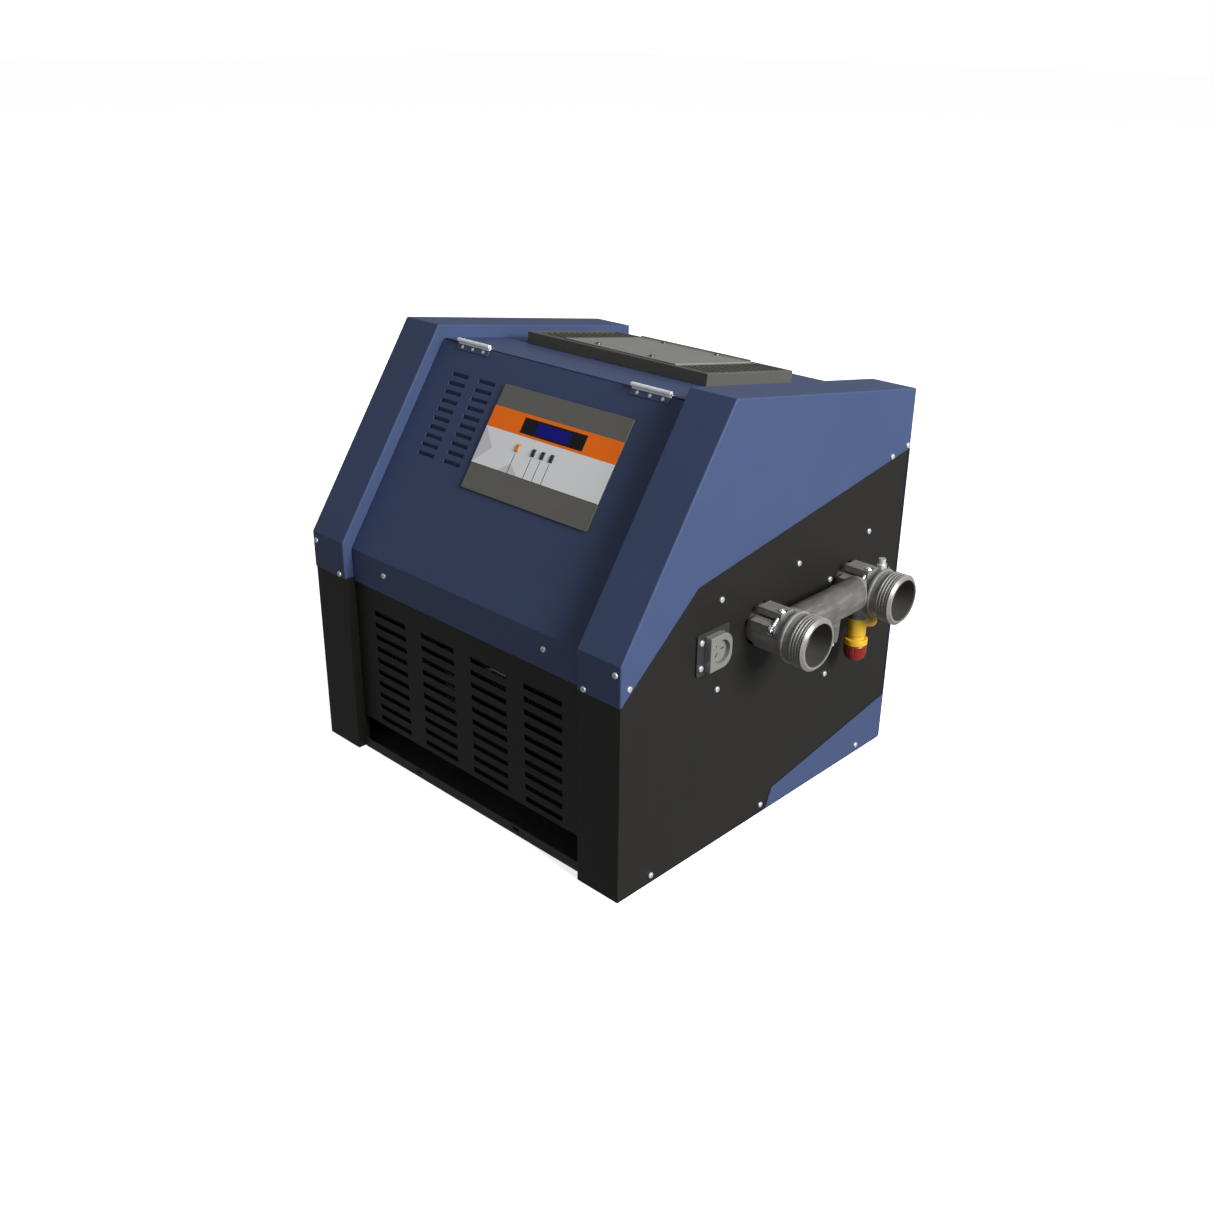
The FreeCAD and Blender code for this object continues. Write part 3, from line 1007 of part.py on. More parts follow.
def fan_impeller():
    """Forward-curved wheel on the motor's shaft."""
    start = FAN_X + 8
    wide = FAN_WIDTH - 16
    disc = rod(V(start + wide - 3, FAN_Y, FAN_Z), X, 56, 3)
    ring = tube(V(start, FAN_Y, FAN_Z), X, 56, 46, 2)
    hub = rod(V(start + wide - 20, FAN_Y, FAN_Z), X, 9, 20)
    blades = []
    for index in range(20):
        blade = box(start + 1, start + wide - 2, FAN_Y - 0.8, FAN_Y + 0.8, FAN_Z + 46.5, FAN_Z + 55.5)
        blade.rotate(V(0, FAN_Y, FAN_Z + 51), X, 30)
        blade.rotate(V(0, FAN_Y, FAN_Z), X, 18 * index)
        blades.append(blade)
    shaft = rod(V(start + wide - 20, FAN_Y, FAN_Z), X, FAN_SHAFT, FAN_WIDTH + 20)
    return fused([disc, ring, hub, shaft] + blades)


def fan_motor():
    face = FAN_X + FAN_WIDTH
    can = turned([(0, 36), (54, 36), (60, 30)], V(face, FAN_Y, FAN_Z), X)
    shaft_end = FAN_X + 8 + FAN_WIDTH - 16 - 20 + FAN_WIDTH + 20
    return can.cut(rod(V(face - 1, FAN_Y, FAN_Z), X, FAN_SHAFT + PIN_CLEARANCE, shaft_end - face + 2))


# ---------------------------------------------------------------- electrics
def transformer():
    body = box(-95, -25, CHAMBER_FRONT - 60, CHAMBER_FRONT, 235, 295)
    core = box(-105, -15, CHAMBER_FRONT - 42, CHAMBER_FRONT - 18, 229, 301)
    return fused([body, core])


def terminal_block():
    base = box(-215, -125, CHAMBER_FRONT - 24, CHAMBER_FRONT, 245, 275)
    slots = [box(-211 + 14 * i, -200 + 14 * i, CHAMBER_FRONT - 30, CHAMBER_FRONT - 12, 240, 253) for i in range(6)]
    return base.cut(slots)


def cable_gland():
    at = V(-SIDE + SHEET, GLAND_AT[0], GLAND_AT[1])
    outside = fused([hexagon(at, -X, 24, 7), turned([(7, 11), (16, 10), (20, 8.5)], at, -X)])
    inside = [rod(at, X, GLAND_RADIUS, 16), hexagon(at + X * (SHEET + 0.1), X, 24, 5)]
    return fused([outside] + inside).cut(rod(at - X * 25, X, GLAND_BORE, 60))


# ---------------------------------------------------------------- the object
NODES = {
    "base_tray": base_tray(),
    "side_panel_right": side_panel_right(),
    "side_panel_left": side_panel_left(),
    "cheek_cover_right": cheek_cover_right(),
    "cheek_cover_left": mirrored(cheek_cover_right()),
    "rear_panel": rear_panel(),
    "front_louvre_panel": front_louvre_panel(),
    "top_deck": top_deck(),
    "front_door": front_door(),
    "hinge_fixed_leaves": hinge_leaves("fixed"),
    "hinge_door_leaves": hinge_leaves("door"),
    "hinge_pins": hinge_pins(),
    "door_screws": Part.makeCompound(list(screws(DOOR_SCREWS).Solids) + hinge_screws("door")),
    "cabinet_screws": Part.makeCompound(
        list(screws(HEADER_SCREWS + DECK_SCREWS + BOTH_SIDE_SCREWS + flipped(BOTH_SIDE_SCREWS)).Solids)
        + hinge_screws("fixed")),
    "control_bezel": control_bezel(),
    "control_label": control_label(),
    "lcd_window": lcd_window(),
    "display_module": display_module(),
    "control_rear_cover": control_rear_cover(),
    "flue_frame": flue_frame(),
    "flue_cover_plate": flue_cover_plate(),
    "flue_grilles": flue_grilles(),
    "flue_screws": flue_screws(),
    "flue_collector": flue_collector(),
    "water_header": water_header(),
    "clamp_bolts": clamp_bolts(),
    "bypass_poppet": bypass_poppet(),
    "bypass_spring": bypass_spring(),
    "drain_plug": drain_plug(),
    "port_sensor": port_sensor(),
    "relief_valve_body": relief_valve_body(),
    "relief_valve_knob": relief_valve_knob(),
    "pump_socket_flange": pump_socket_flange(),
    "pump_socket": pump_socket(),
    "pump_socket_screws": screws(SOCKET_SCREWS),
    "exchanger_tubes": exchanger_tubes(),
    "exchanger_fins": exchanger_fins(),
    "exchanger_frame": exchanger_frame(),
    "water_tank_right": water_tank("right"),
    "water_tank_left": water_tank("left"),
    "stub_seals": stub_seals(),
    "pressure_switch": pressure_switch(),
    "combustion_chamber": combustion_chamber(),
    "chamber_liner": chamber_liner(),
    "burner_tubes": burner_tubes(),
    "gas_manifold": gas_manifold(),
    "gas_valve": gas_valve(),
    "gas_valve_knob": gas_valve_knob(),
    "gas_inlet_pipe": gas_inlet_pipe(),
    "igniter": igniter(),
    "fan_housing": fan_housing(),
    "fan_impeller": fan_impeller(),
    "fan_motor": fan_motor(),
    "transformer": transformer(),
    "terminal_block": terminal_block(),
    "cable_gland": cable_gland(),
}
for name, place in KEY_PLACES.items():
    NODES[name] = key(place)

os.makedirs("parts", exist_ok=True)
for name, shape in NODES.items():
    shape.exportStep("parts/" + name + ".step")
print(len(NODES), "nodes,", sum(len(shape.Solids) for shape in NODES.values()), "solids")
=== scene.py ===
# %% [markdown]
# # A gas pool heater, finished in Blender
# The heater's frame comes packed from the CAD step: every sheet, screw and pipe is already a mesh at its real size, in
# metres, with +X towards the water ports, -Y towards the front and +Z up. This lesson loads it, lights it, gives each
# surface a procedural finish and adds the small pieces that CAD leaves plain.

# %% Load the frame
import bpy
import json
import math
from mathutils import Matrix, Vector


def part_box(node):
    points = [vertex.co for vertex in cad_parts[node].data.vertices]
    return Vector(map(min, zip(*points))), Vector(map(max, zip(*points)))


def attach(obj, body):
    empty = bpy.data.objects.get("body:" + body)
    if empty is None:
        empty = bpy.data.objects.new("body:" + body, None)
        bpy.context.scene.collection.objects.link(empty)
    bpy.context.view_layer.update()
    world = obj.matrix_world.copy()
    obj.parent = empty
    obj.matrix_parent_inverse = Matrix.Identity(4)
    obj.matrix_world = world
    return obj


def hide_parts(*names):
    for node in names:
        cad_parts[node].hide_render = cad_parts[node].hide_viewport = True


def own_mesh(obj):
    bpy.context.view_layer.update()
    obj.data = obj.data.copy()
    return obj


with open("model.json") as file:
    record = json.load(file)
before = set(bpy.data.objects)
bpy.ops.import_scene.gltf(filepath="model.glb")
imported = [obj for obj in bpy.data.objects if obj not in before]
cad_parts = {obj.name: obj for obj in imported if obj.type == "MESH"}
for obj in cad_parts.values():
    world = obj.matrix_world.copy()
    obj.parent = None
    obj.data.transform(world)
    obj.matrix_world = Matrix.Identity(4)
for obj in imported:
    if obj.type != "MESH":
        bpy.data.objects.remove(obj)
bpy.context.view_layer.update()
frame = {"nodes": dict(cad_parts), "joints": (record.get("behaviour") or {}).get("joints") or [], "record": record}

nodes = frame["nodes"]
bpy.ops.object.select_all(action="DESELECT")

# %% [markdown]
# ## Camera
# The heater is seen from its front right corner and from above, at about 24 degrees. The distance matters as much as
# the angle, because it sets how fast the edges run together, so both were worked out from the cabinet's corners.

# %% Camera
camera_data = bpy.data.cameras.new("camera")
camera_data.lens = 38.63
camera_data.sensor_width = 36.0
camera = bpy.data.objects.new("camera", camera_data)
camera.location = (1.3849, -1.4448, 1.1629)
camera.rotation_euler = [math.radians(a) for a in (65.405, -0.549, 43.981)]
bpy.context.scene.collection.objects.link(camera)
bpy.context.scene.camera = camera
print("camera", [round(v, 3) for v in camera.location])

# %% [markdown]
# ## Light and floor
# A studio picture on white has no hard shadows. One large soft light on the right and above makes that side the bright
# one and leaves the front in shade. Two weaker ones, on the left and behind, keep the far sides readable, and they
# aren't seen in reflections, where they would put a glare on the top. The world is white to the camera and dim to
# everything else: a Light Path node tells the two apart. The floor is one wide plane, and it throws no light back up at
# the dark panels.

# %% World
ROOM_GLOW = 0.30
world = bpy.data.worlds.new("pale studio")
world.use_nodes = True
world_nodes, world_links = world.node_tree.nodes, world.node_tree.links
dim_room = world_nodes["Background"]
dim_room.inputs["Color"].default_value = (1.0, 1.0, 1.0, 1.0)
dim_room.inputs["Strength"].default_value = ROOM_GLOW
white_wall = world_nodes.new("ShaderNodeBackground")
white_wall.inputs["Color"].default_value = (1.0, 1.0, 1.0, 1.0)
chooser = world_nodes.new("ShaderNodeMixShader")
seen = world_nodes.new("ShaderNodeLightPath")
world_links.new(seen.outputs["Is Camera Ray"], chooser.inputs[0])
world_links.new(dim_room.outputs[0], chooser.inputs[1])
world_links.new(white_wall.outputs[0], chooser.inputs[2])
world_links.new(chooser.outputs[0], world_nodes["World Output"].inputs["Surface"])
bpy.context.scene.world = world
bpy.context.scene.view_settings.view_transform = "Standard"
print("world lights at", ROOM_GLOW)


# %% Soft lights
def soft_light(name, at, towards, size, power, mirrored=True):
    """A square area light that faces a point. One that isn't mirrored leaves no glare."""
    data = bpy.data.lights.new(name, "AREA")
    data.size = size
    data.energy = power
    light = bpy.data.objects.new(name, data)
    light.location = at
    light.rotation_euler = (Vector(towards) - Vector(at)).to_track_quat("-Z", "Y").to_euler()
    light.visible_glossy = mirrored
    bpy.context.scene.collection.objects.link(light)


KEY_WATTS = 500.0
FILL_WATTS = 42.0
LIGHT_SIZE = 2.0
middle = (0.0, 0.0, 0.35)
soft_light("key light", (4.8, 0.0, 2.7), middle, LIGHT_SIZE, KEY_WATTS)
soft_light("left fill", (-3.2, 0.6, 1.0), middle, LIGHT_SIZE, FILL_WATTS, mirrored=False)
soft_light("back fill", (0.3, 3.4, 1.2), middle, LIGHT_SIZE, FILL_WATTS, mirrored=False)

# %% Floor
FLOOR_SIZE = 60.0
bpy.ops.mesh.primitive_plane_add(size=FLOOR_SIZE, location=(0.0, 0.0, 0.0))
floor = bpy.context.object
floor.name = "studio_floor"
floor.visible_diffuse = False
floor.visible_glossy = False
print("floor", floor.dimensions[:])

# %% [markdown]
# ## Shader expressions
# A material's nodes are easier to read as formulas. `Field` wraps one socket and turns +, -, * and comparisons into
# Math nodes, on either side of a number, so `1 - mask` works, and | keeps the larger of two masks. `Finish` holds one
# material: `node` adds any other node, with its settings first and its inputs after, and `blend` mixes two colours by
# a mask.

# %% Field
class Field:
    """One output socket, usable in arithmetic."""

    def __init__(self, finish, socket):
        self.finish = finish
        self.socket = socket

    def maths(self, operation, *others):
        values = dict(enumerate((self,) + others))
        return self.finish.node("ShaderNodeMath", {"operation": operation}, values)

    def __add__(self, other):
        return self.maths("ADD", other)

    def __radd__(self, other):
        return self + other

    def __sub__(self, other):
        return self.maths("SUBTRACT", other)

    def __rsub__(self, other):
        return self * -1.0 + other

    def __mul__(self, other):
        return self.maths("MULTIPLY", other)

    def __rmul__(self, other):
        return self * other

    def __gt__(self, other):
        return self.maths("GREATER_THAN", other)

    def __lt__(self, other):
        return self.maths("LESS_THAN", other)

    def __abs__(self):
        return self.maths("ABSOLUTE")

    def __or__(self, other):
        return self.maths("MAXIMUM", other)

    def between(self, low, high):
        return (self > low) * (self < high)


# %% Finish
class Finish:
    """A material built from expressions."""

    def __init__(self, name, metallic=0.0, roughness=0.5, coat=0.0, specular=0.5):
        self.material = bpy.data.materials.new(name)
        self.material.use_nodes = True
        self.tree = self.material.node_tree
        self.shader = self.tree.nodes["Principled BSDF"]
        self.set("Metallic", metallic)
        self.set("Roughness", roughness)
        self.set("Coat Weight", coat)
        self.shader.inputs["Specular IOR Level"].default_value = specular

    def node(self, kind, settings=None, inputs=None, output=0):
        """Adds a node, applies its settings and then its inputs, and returns one output."""
        made = self.tree.nodes.new(kind)
        for key, value in (settings or {}).items():
            if key == "stops":
                for stop, (place, colour) in zip(self.stops(made, len(value)), value):
                    stop.position = place
                    stop.color = colour
            else:
                setattr(made, key, value)
        for key, value in (inputs or {}).items():
            if isinstance(value, Field):
                self.tree.links.new(value.socket, made.inputs[key])
            else:
                made.inputs[key].default_value = value
        return Field(self, made.outputs[output])

    def stops(self, ramp, count):
        while len(ramp.color_ramp.elements) < count:
            ramp.color_ramp.elements.new(1.0)
        return ramp.color_ramp.elements

    def set(self, socket, value):
        """A number or colour goes on the shader's own socket, and a field is linked to it."""
        if isinstance(value, Field):
            self.tree.links.new(value.socket, self.shader.inputs[socket])
        else:
            self.shader.inputs[socket].default_value = value

    def place(self):
        """Where a point is on the heater, in metres."""
        return self.node("ShaderNodeTexCoord", output="Object")

    def axis(self, which):
        return self.node("ShaderNodeSeparateXYZ", None, {0: self.place()}, output=which)

    def along(self, direction):
        return self.node("ShaderNodeVectorMath", {"operation": "DOT_PRODUCT"},
                         {0: self.place(), 1: tuple(direction)}, output="Value")

    def noise(self, scale, detail=2.0, stretch=(1.0, 1.0, 1.0)):
        """Cloudy noise from 0 to 1, squeezed along the axes by stretch."""
        squeezed = self.node("ShaderNodeVectorMath", {"operation": "MULTIPLY"}, {0: self.place(), 1: stretch})
        return self.node("ShaderNodeTexNoise", None, {"Vector": squeezed, "Scale": scale, "Detail": detail})

    def cells(self, scale):
        """Distance to the nearest of many scattered points."""
        return self.node("ShaderNodeTexVoronoi", None, {"Vector": self.place(), "Scale": scale}, output="Distance")

    def blend(self, mask, first, second):
        """first where the mask is 0 and second where it is 1."""
        return self.node("ShaderNodeMix", {"data_type": "RGBA"}, {0: mask, 6: first, 7: second}, output=2)

    def ramp(self, value, stops):
        """A number remapped through (place, value) stops, with smooth steps between."""
        greys = [(place, (grey, grey, grey, 1.0)) for place, grey in stops]
        return self.node("ShaderNodeValToRGB", {"stops": greys}, {0: value})

    def bump(self, height, depth):
        """depth is the real height of the relief in metres."""
        return self.node("ShaderNodeBump", None, {"Height": height, "Distance": depth, "Strength": 1.0})

    def upward(self):
        """1 on faces that look up, 0 on the sides and below."""
        normal = self.node("ShaderNodeNewGeometry", output="Normal")
        return self.node("ShaderNodeSeparateXYZ", None, {0: normal}, output="Z").maths("MAXIMUM", 0.0)


def shade(colour, factor):
    """A colour made lighter or darker, with full alpha."""
    return tuple(min(1.0, c * factor) for c in colour[:3]) + (1.0,)


probe = Finish("probe")
print("1 - x is made of", (1 - probe.axis("X")).socket.node.operation)
bpy.data.materials.remove(probe.material)


# %% [markdown]
# ## Powder coat
# The cabinet is folded steel sheet with a baked powder coat. Up close such a coat isn't flat: it has a fine pebbled
# skin, faint clouds of gloss, and a little dust on the faces that look up. The pebbles come from a Voronoi texture at
# about 1.6 mm and drive bump and roughness, and the clouds are low noise in the colour.

# %% Powder coat
COVER_BLUE = (0.038, 0.057, 0.126)


def powder_coat(name, colour, roughness=0.42, pebble=0.00012, dust=0.05, clouds=0.10):
    coat = Finish(name, specular=0.22)
    cloud = coat.noise(7.0, 4.0)
    grain = coat.noise(900.0, 2.0)
    pebbles = coat.cells(620.0)
    base = coat.blend(cloud, shade(colour, 1.0 - clouds), shade(colour, 1.0 + clouds))
    speckled = coat.blend((grain > 0.62) * 0.22, base, shade(colour, 1.35))
    dusted = coat.blend(coat.upward() * coat.noise(16.0, 5.0) * dust, speckled, (0.55, 0.54, 0.50, 1.0))
    coat.set("Base Color", dusted)
    coat.set("Roughness", roughness + cloud * 0.10 - grain * 0.06)
    coat.set("Normal", coat.bump(pebbles * 0.7 + grain * 0.3, pebble))
    return coat.material


cover_blue = powder_coat("cover_blue", COVER_BLUE, roughness=0.50, dust=0.012)
panel_black = powder_coat("panel_black", (0.0105, 0.0100, 0.0092), roughness=0.50, dust=0.03)
flue_paint = powder_coat("flue_paint", (0.070, 0.069, 0.060), roughness=0.5, dust=0.08)
# The tray's black is lighter than the panels' black: painted light for the tray's front, which sits in shade under the
# louvre panel.
tray_black = powder_coat("tray_black", (0.028, 0.028, 0.027), roughness=0.55, dust=0.05)
print("coats", cover_blue.name, panel_black.name, flue_paint.name)


# %% [markdown]
# ## Bare and plated metal
# Cast aluminium, zinc plate, copper and heat-stained steel share one recipe: a metallic base whose colour drifts a
# little, roughness that varies in streaks along the way the metal was worked, and fine bump. What differs is the
# colour, the gloss, how coarse the grain is and which way it runs.

# %% Metal
def worked_metal(name, colour, roughness, grain=300.0, stretch=(1.0, 1.0, 1.0), relief=0.00005,
                 stain=None, stains=0.0, metallic=1.0):
    metal = Finish(name, metallic=metallic)
    streak = metal.noise(grain, 3.0, stretch)
    patch = metal.noise(28.0, 4.0)
    base = metal.blend(patch, shade(colour, 0.80), shade(colour, 1.12))
    base = metal.blend(streak * 0.35, base, shade(colour, 1.30))
    if stain:
        base = metal.blend((patch > 0.52) * streak * stains, base, stain)
    metal.set("Base Color", base)
    metal.set("Roughness", roughness + streak * 0.16 + patch * 0.08 - 0.10)
    metal.set("Normal", metal.bump(streak, relief))
    return metal.material


zinc = worked_metal("zinc_plate", (0.62, 0.63, 0.65), 0.32, grain=900.0, relief=0.00003, metallic=0.6)
flue_plate = worked_metal("flue_plate", (0.20, 0.20, 0.18), 0.50, grain=260.0, stretch=(0.05, 1.0, 1.0), metallic=0.15)
copper = worked_metal("copper_tube", (0.62, 0.26, 0.13), 0.32, grain=350.0, stretch=(0.1, 1.0, 1.0),
                      stain=(0.16, 0.07, 0.04, 1.0), stains=0.8)
brass = worked_metal("machined_brass", (0.66, 0.46, 0.18), 0.28, grain=700.0)
galvanised = worked_metal("galvanised", (0.50, 0.52, 0.54), 0.42, grain=60.0, relief=0.00003)
dark_steel = worked_metal("heat_stained_steel", (0.20, 0.18, 0.16), 0.45, grain=240.0,
                          stain=(0.10, 0.05, 0.03, 1.0), stains=0.9)
die_cast = worked_metal("die_cast", (0.48, 0.49, 0.51), 0.42, grain=420.0, relief=0.00010)
print("metals", [m.name for m in (zinc, flue_plate, copper, brass, galvanised, dark_steel)])

# %% [markdown]
# ## Water header
# The header is a casting that has carried pool water. Its skin is a mottled grey, drawn out into pale and dark streaks
# along the cross pipe. The two ports are painted paler, which is painted light for collars that sit in shade, and their
# bores are painted dark, which is painted shade inside the hollows. Both are masks on the distance from a port's axis,
# so the painted shade stops at the bore's edge.

# %% Header finish
header_low, header_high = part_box("water_header")
port_places = [m["pos_m"] for m in frame["record"]["mounts"] if m["name"] in ("water_inlet", "water_outlet")]
port_lines = [place[1] for place in port_places]
port_height = port_places[0][2]

DARK_CAST = (0.085, 0.083, 0.076, 1.0)
PALE_CAST = (0.185, 0.180, 0.166, 1.0)
DRAWN_STREAK = (0.34, 0.33, 0.30, 1.0)
RUST_FILM = (0.20, 0.15, 0.10, 1.0)
PAINTED_LIGHT_PORT = (0.32, 0.315, 0.295, 1.0)
PAINTED_BORE_SHADE = (0.030, 0.029, 0.026, 1.0)


def header_finish(bore_radius=0.0345, port_radius=0.042, face_depth=0.0015, stub_depth=0.06):
    cast = Finish("header_cast", specular=0.4)
    mottle = cast.noise(42.0, 5.0)
    streak = cast.noise(150.0, 4.0, (1.0, 0.14, 1.0))
    grain = cast.noise(600.0, 3.0)
    skin = cast.blend(mottle, DARK_CAST, PALE_CAST)
    pale = cast.ramp(streak, [(0.48, 0.0), (0.68, 1.0)])
    skin = cast.blend(pale * 0.30, skin, DRAWN_STREAK)
    rusty = cast.ramp(mottle, [(0.58, 0.0), (0.72, 1.0)])
    skin = cast.blend(rusty * 0.30, skin, RUST_FILM)
    up = cast.axis("Z") - port_height
    inside, lit_ports = None, None
    for line in port_lines:
        across = cast.axis("Y") - line
        away = across * across + up * up
        bore, lit_collar = away < bore_radius * bore_radius, away < port_radius * port_radius
        inside = bore if inside is None else inside | bore
        lit_ports = lit_collar if lit_ports is None else lit_ports | lit_collar
    # Painted light: the port collars are made paler, in place of the light they miss in shade.
    skin = cast.blend(lit_ports * 0.40, skin, PAINTED_LIGHT_PORT)
    along = cast.axis("X")
    # Painted shade: the bores are painted dark inside, in place of the shade in the hollow.
    bore_shade = inside * along.between(header_low[0] + stub_depth, header_high[0] - face_depth)
    cast.set("Base Color", cast.blend(bore_shade * 0.85, skin, PAINTED_BORE_SHADE))
    cast.set("Metallic", 0.40 - lit_ports * 0.15 - bore_shade * 0.20)
    cast.set("Roughness", 0.28 + mottle * 0.22 + bore_shade * 0.20)
    cast.set("Normal", cast.bump(grain * 0.6 + streak * 0.4, 0.00025))
    return cast.material


header_cast = header_finish()
print("header ports on y =", [round(line, 4) for line in port_lines], "at height", port_height)

# %% [markdown]
# ## Hinges
# The two butt hinges were sprayed with the door, so their leaves carry the cabinet's blue. The knuckles are bare steel,
# and their near-white colour is a painted highlight along each knuckle. One material can be both: the distance from the
# hinge's own axis, which the door's joint gives, is a mask that switches colour, metal and gloss together.

# %% Hinge finish
hinge_axis = Vector(next(j for j in frame["joints"] if j["name"] == "door_hinge")["pos_m"])


def hinge_finish(bare_glint_radius=0.0052):
    steel = Finish("hinge_steel")
    away_y = steel.axis("Y") - hinge_axis.y
    away_z = steel.axis("Z") - hinge_axis.z
    edge = steel.noise(160.0, 3.0) * 0.0012
    bare_glint = away_y * away_y + away_z * away_z < (edge + bare_glint_radius) * (edge + bare_glint_radius)
    streak = steel.noise(400.0, 3.0, (0.1, 1.0, 1.0))
    # Painted highlight: the bare knuckles are near white, a painted glint along each knuckle on top of their bare
    # steel.
    bright = steel.blend(streak, (0.70, 0.74, 0.82, 1.0), (0.95, 0.97, 1.00, 1.0))
    steel.set("Base Color", steel.blend(bare_glint, shade(COVER_BLUE, 1.0), bright))
    steel.set("Metallic", bare_glint * 0.35)
    steel.set("Roughness", 0.46 - bare_glint * 0.24 + streak * 0.08)
    steel.set("Normal", steel.bump(streak, 0.00004))
    return steel.material


hinge_steel = hinge_finish()
print("hinges turn about", tuple(round(v, 4) for v in hinge_axis))


# %% [markdown]
# ## Moulded plastic, rubber and fibre board
# Moulded parts have a fine even spark-eroded grain and almost no colour drift. The same recipe covers rubber, which is
# rougher, and painted castings, which are smoother and get a clear coat.

# %% Moulded
def moulded(name, colour, roughness=0.45, grain=1400.0, relief=0.00004, coat=0.0, drift=0.06):
    plastic = Finish(name, coat=coat)
    fine = plastic.noise(grain, 2.0)
    slow = plastic.noise(30.0, 3.0)
    plastic.set("Base Color", plastic.blend(slow, shade(colour, 1.0 - drift), shade(colour, 1.0 + drift)))
    plastic.set("Roughness", roughness + fine * 0.10 - 0.05)
    plastic.set("Normal", plastic.bump(fine, relief))
    return plastic.material


bezel_grey = moulded("bezel_grey", (0.115, 0.112, 0.098), roughness=0.38)
black_plastic = moulded("black_plastic", (0.020, 0.020, 0.021), roughness=0.5)
seal_rubber = moulded("seal_rubber", (0.018, 0.018, 0.018), roughness=0.75, grain=700.0)
key_black = moulded("key_black", (0.022, 0.022, 0.024), roughness=0.55)
key_orange = moulded("key_orange", (0.72, 0.19, 0.015), roughness=0.45)
valve_yellow = moulded("valve_yellow", (0.56, 0.33, 0.013), roughness=0.38, grain=500.0, relief=0.00010, coat=0.3)
valve_red = moulded("valve_red", (0.17, 0.009, 0.003), roughness=0.36, coat=0.1)
socket_grey = moulded("socket_grey", (0.150, 0.154, 0.140), roughness=0.34, coat=0.1)
fibre_board = moulded("fibre_board", (0.72, 0.70, 0.64), roughness=0.92, grain=260.0, relief=0.0006, drift=0.10)
circuit_green = moulded("circuit_green", (0.012, 0.085, 0.040), roughness=0.35, coat=0.4)
print("moulded", [m.name for m in (bezel_grey, black_plastic, seal_rubber, valve_yellow, valve_red, socket_grey)])

# %% [markdown]
# ## Printed label
# The label is one printed film: an orange band above a white one. Thin grey lines run down from the keys, a pale
# triangle fills the left edge, and a smaller one points up below the power key. The print is drawn in the label's own
# plane: `across` is X, and `up` is measured along the slope from the label's lower edge. The slope's direction comes
# from the way the keys press.

# %% The label's plane
press = Vector(next(j for j in frame["joints"] if j["name"] == "key_power_press")["axis"])
up_slope = Vector((0.0, -press.z, press.y))
label_foot = min(v.co @ up_slope for v in nodes["control_label"].data.vertices)
label_head = max(v.co @ up_slope for v in nodes["control_label"].data.vertices)
KEYS = ("key_power", "key_mode", "key_down", "key_up")
key_middles = {name: sum(corner[0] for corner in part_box(name)) / 2 for name in KEYS}
print("label", round(label_foot, 4), round(label_head, 4), key_middles)


# %% Printed film
BAND_FOOT = 0.0605
TRIANGLE_MIDDLE = 0.030
TRIANGLE_TOP = 0.058
CHEVRON_TOP = 0.016
CHEVRON_SLOPE = 0.75
LINE_TOP = 0.033
LINE_HALF_WIDTH = 0.0007
GREY_TRIANGLE = (0.40, 0.39, 0.44, 1.0)
GREY_LINE = (0.10, 0.10, 0.10, 1.0)


def printed_film():
    film = Finish("printed_film", roughness=0.45, specular=0.25)
    across = film.axis("X")
    up = film.along(up_slope) - label_foot
    left = min(v.co.x for v in nodes["control_label"].data.vertices)
    fine = film.noise(1800.0)
    corner = (across - left < TRIANGLE_MIDDLE - abs(up - TRIANGLE_MIDDLE)) * (up < TRIANGLE_TOP)
    chevron = (up < CHEVRON_TOP - abs(across - key_middles["key_power"]) * CHEVRON_SLOPE) * (up > 0.0)
    lines = None
    for middle_x in key_middles.values():
        line = (abs(across - middle_x) < LINE_HALF_WIDTH) * (up < LINE_TOP)
        lines = line if lines is None else lines | line
    white = film.blend(fine, (0.70, 0.71, 0.72, 1.0), (0.75, 0.76, 0.77, 1.0))
    print_on = film.blend((corner | chevron) * 0.5, white, GREY_TRIANGLE)
    print_on = film.blend(lines, print_on, GREY_LINE)
    orange = film.blend(fine, (0.86, 0.150, 0.0015, 1.0), (0.90, 0.165, 0.0020, 1.0))
    film.set("Base Color", film.blend(up > BAND_FOOT, print_on, orange))
    film.set("Normal", film.bump(fine, 0.00002))
    return film.material


label_print = printed_film()
print("film", label_print.name)


# %% [markdown]
# ## Display
# Behind a dark window the display's lit area is a deep blue rectangle. Colour and a weak glow share one mask, with a
# faint row of dots for the display's cells.

# %% Display glass
LIT_SHARE = 0.27
LIT_MARGIN = 0.0035
CELL_WAVES = 3800.0
DARK_GLASS = (0.007, 0.007, 0.010, 1.0)
LIT_GLASS = (0.003, 0.003, 0.14, 1.0)
NO_GLOW = (0.0, 0.0, 0.0, 1.0)
BLUE_GLOW = (0.0, 0.0, 0.07, 1.0)


def display_glass():
    glass = Finish("display_glass", roughness=0.12, specular=0.2)
    low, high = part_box("lcd_window")
    across = glass.axis("X")
    centre = (low[0] + high[0]) / 2
    wide = high[0] - low[0]
    up = glass.along(up_slope)
    foot = min(v.co @ up_slope for v in nodes["lcd_window"].data.vertices)
    head = max(v.co @ up_slope for v in nodes["lcd_window"].data.vertices)
    lit = (abs(across - centre) < wide * LIT_SHARE) * up.between(foot + LIT_MARGIN, head - LIT_MARGIN)
    dots = (across * CELL_WAVES).maths("SINE") * (up * CELL_WAVES).maths("SINE") > 0.0
    glow = lit * (0.75 + dots * 0.25)
    glass.set("Base Color", glass.blend(glow, DARK_GLASS, LIT_GLASS))
    glass.set("Emission Color", glass.blend(glow, NO_GLOW, BLUE_GLOW))
    glass.shader.inputs["Emission Strength"].default_value = 0.8
    return glass.material


lcd_glass = display_glass()
print("glass", lcd_glass.name)

# %% [markdown]
# ## Give the CAD nodes their finishes
# A node's own slots take the new material, so the mesh stays as it was packed.

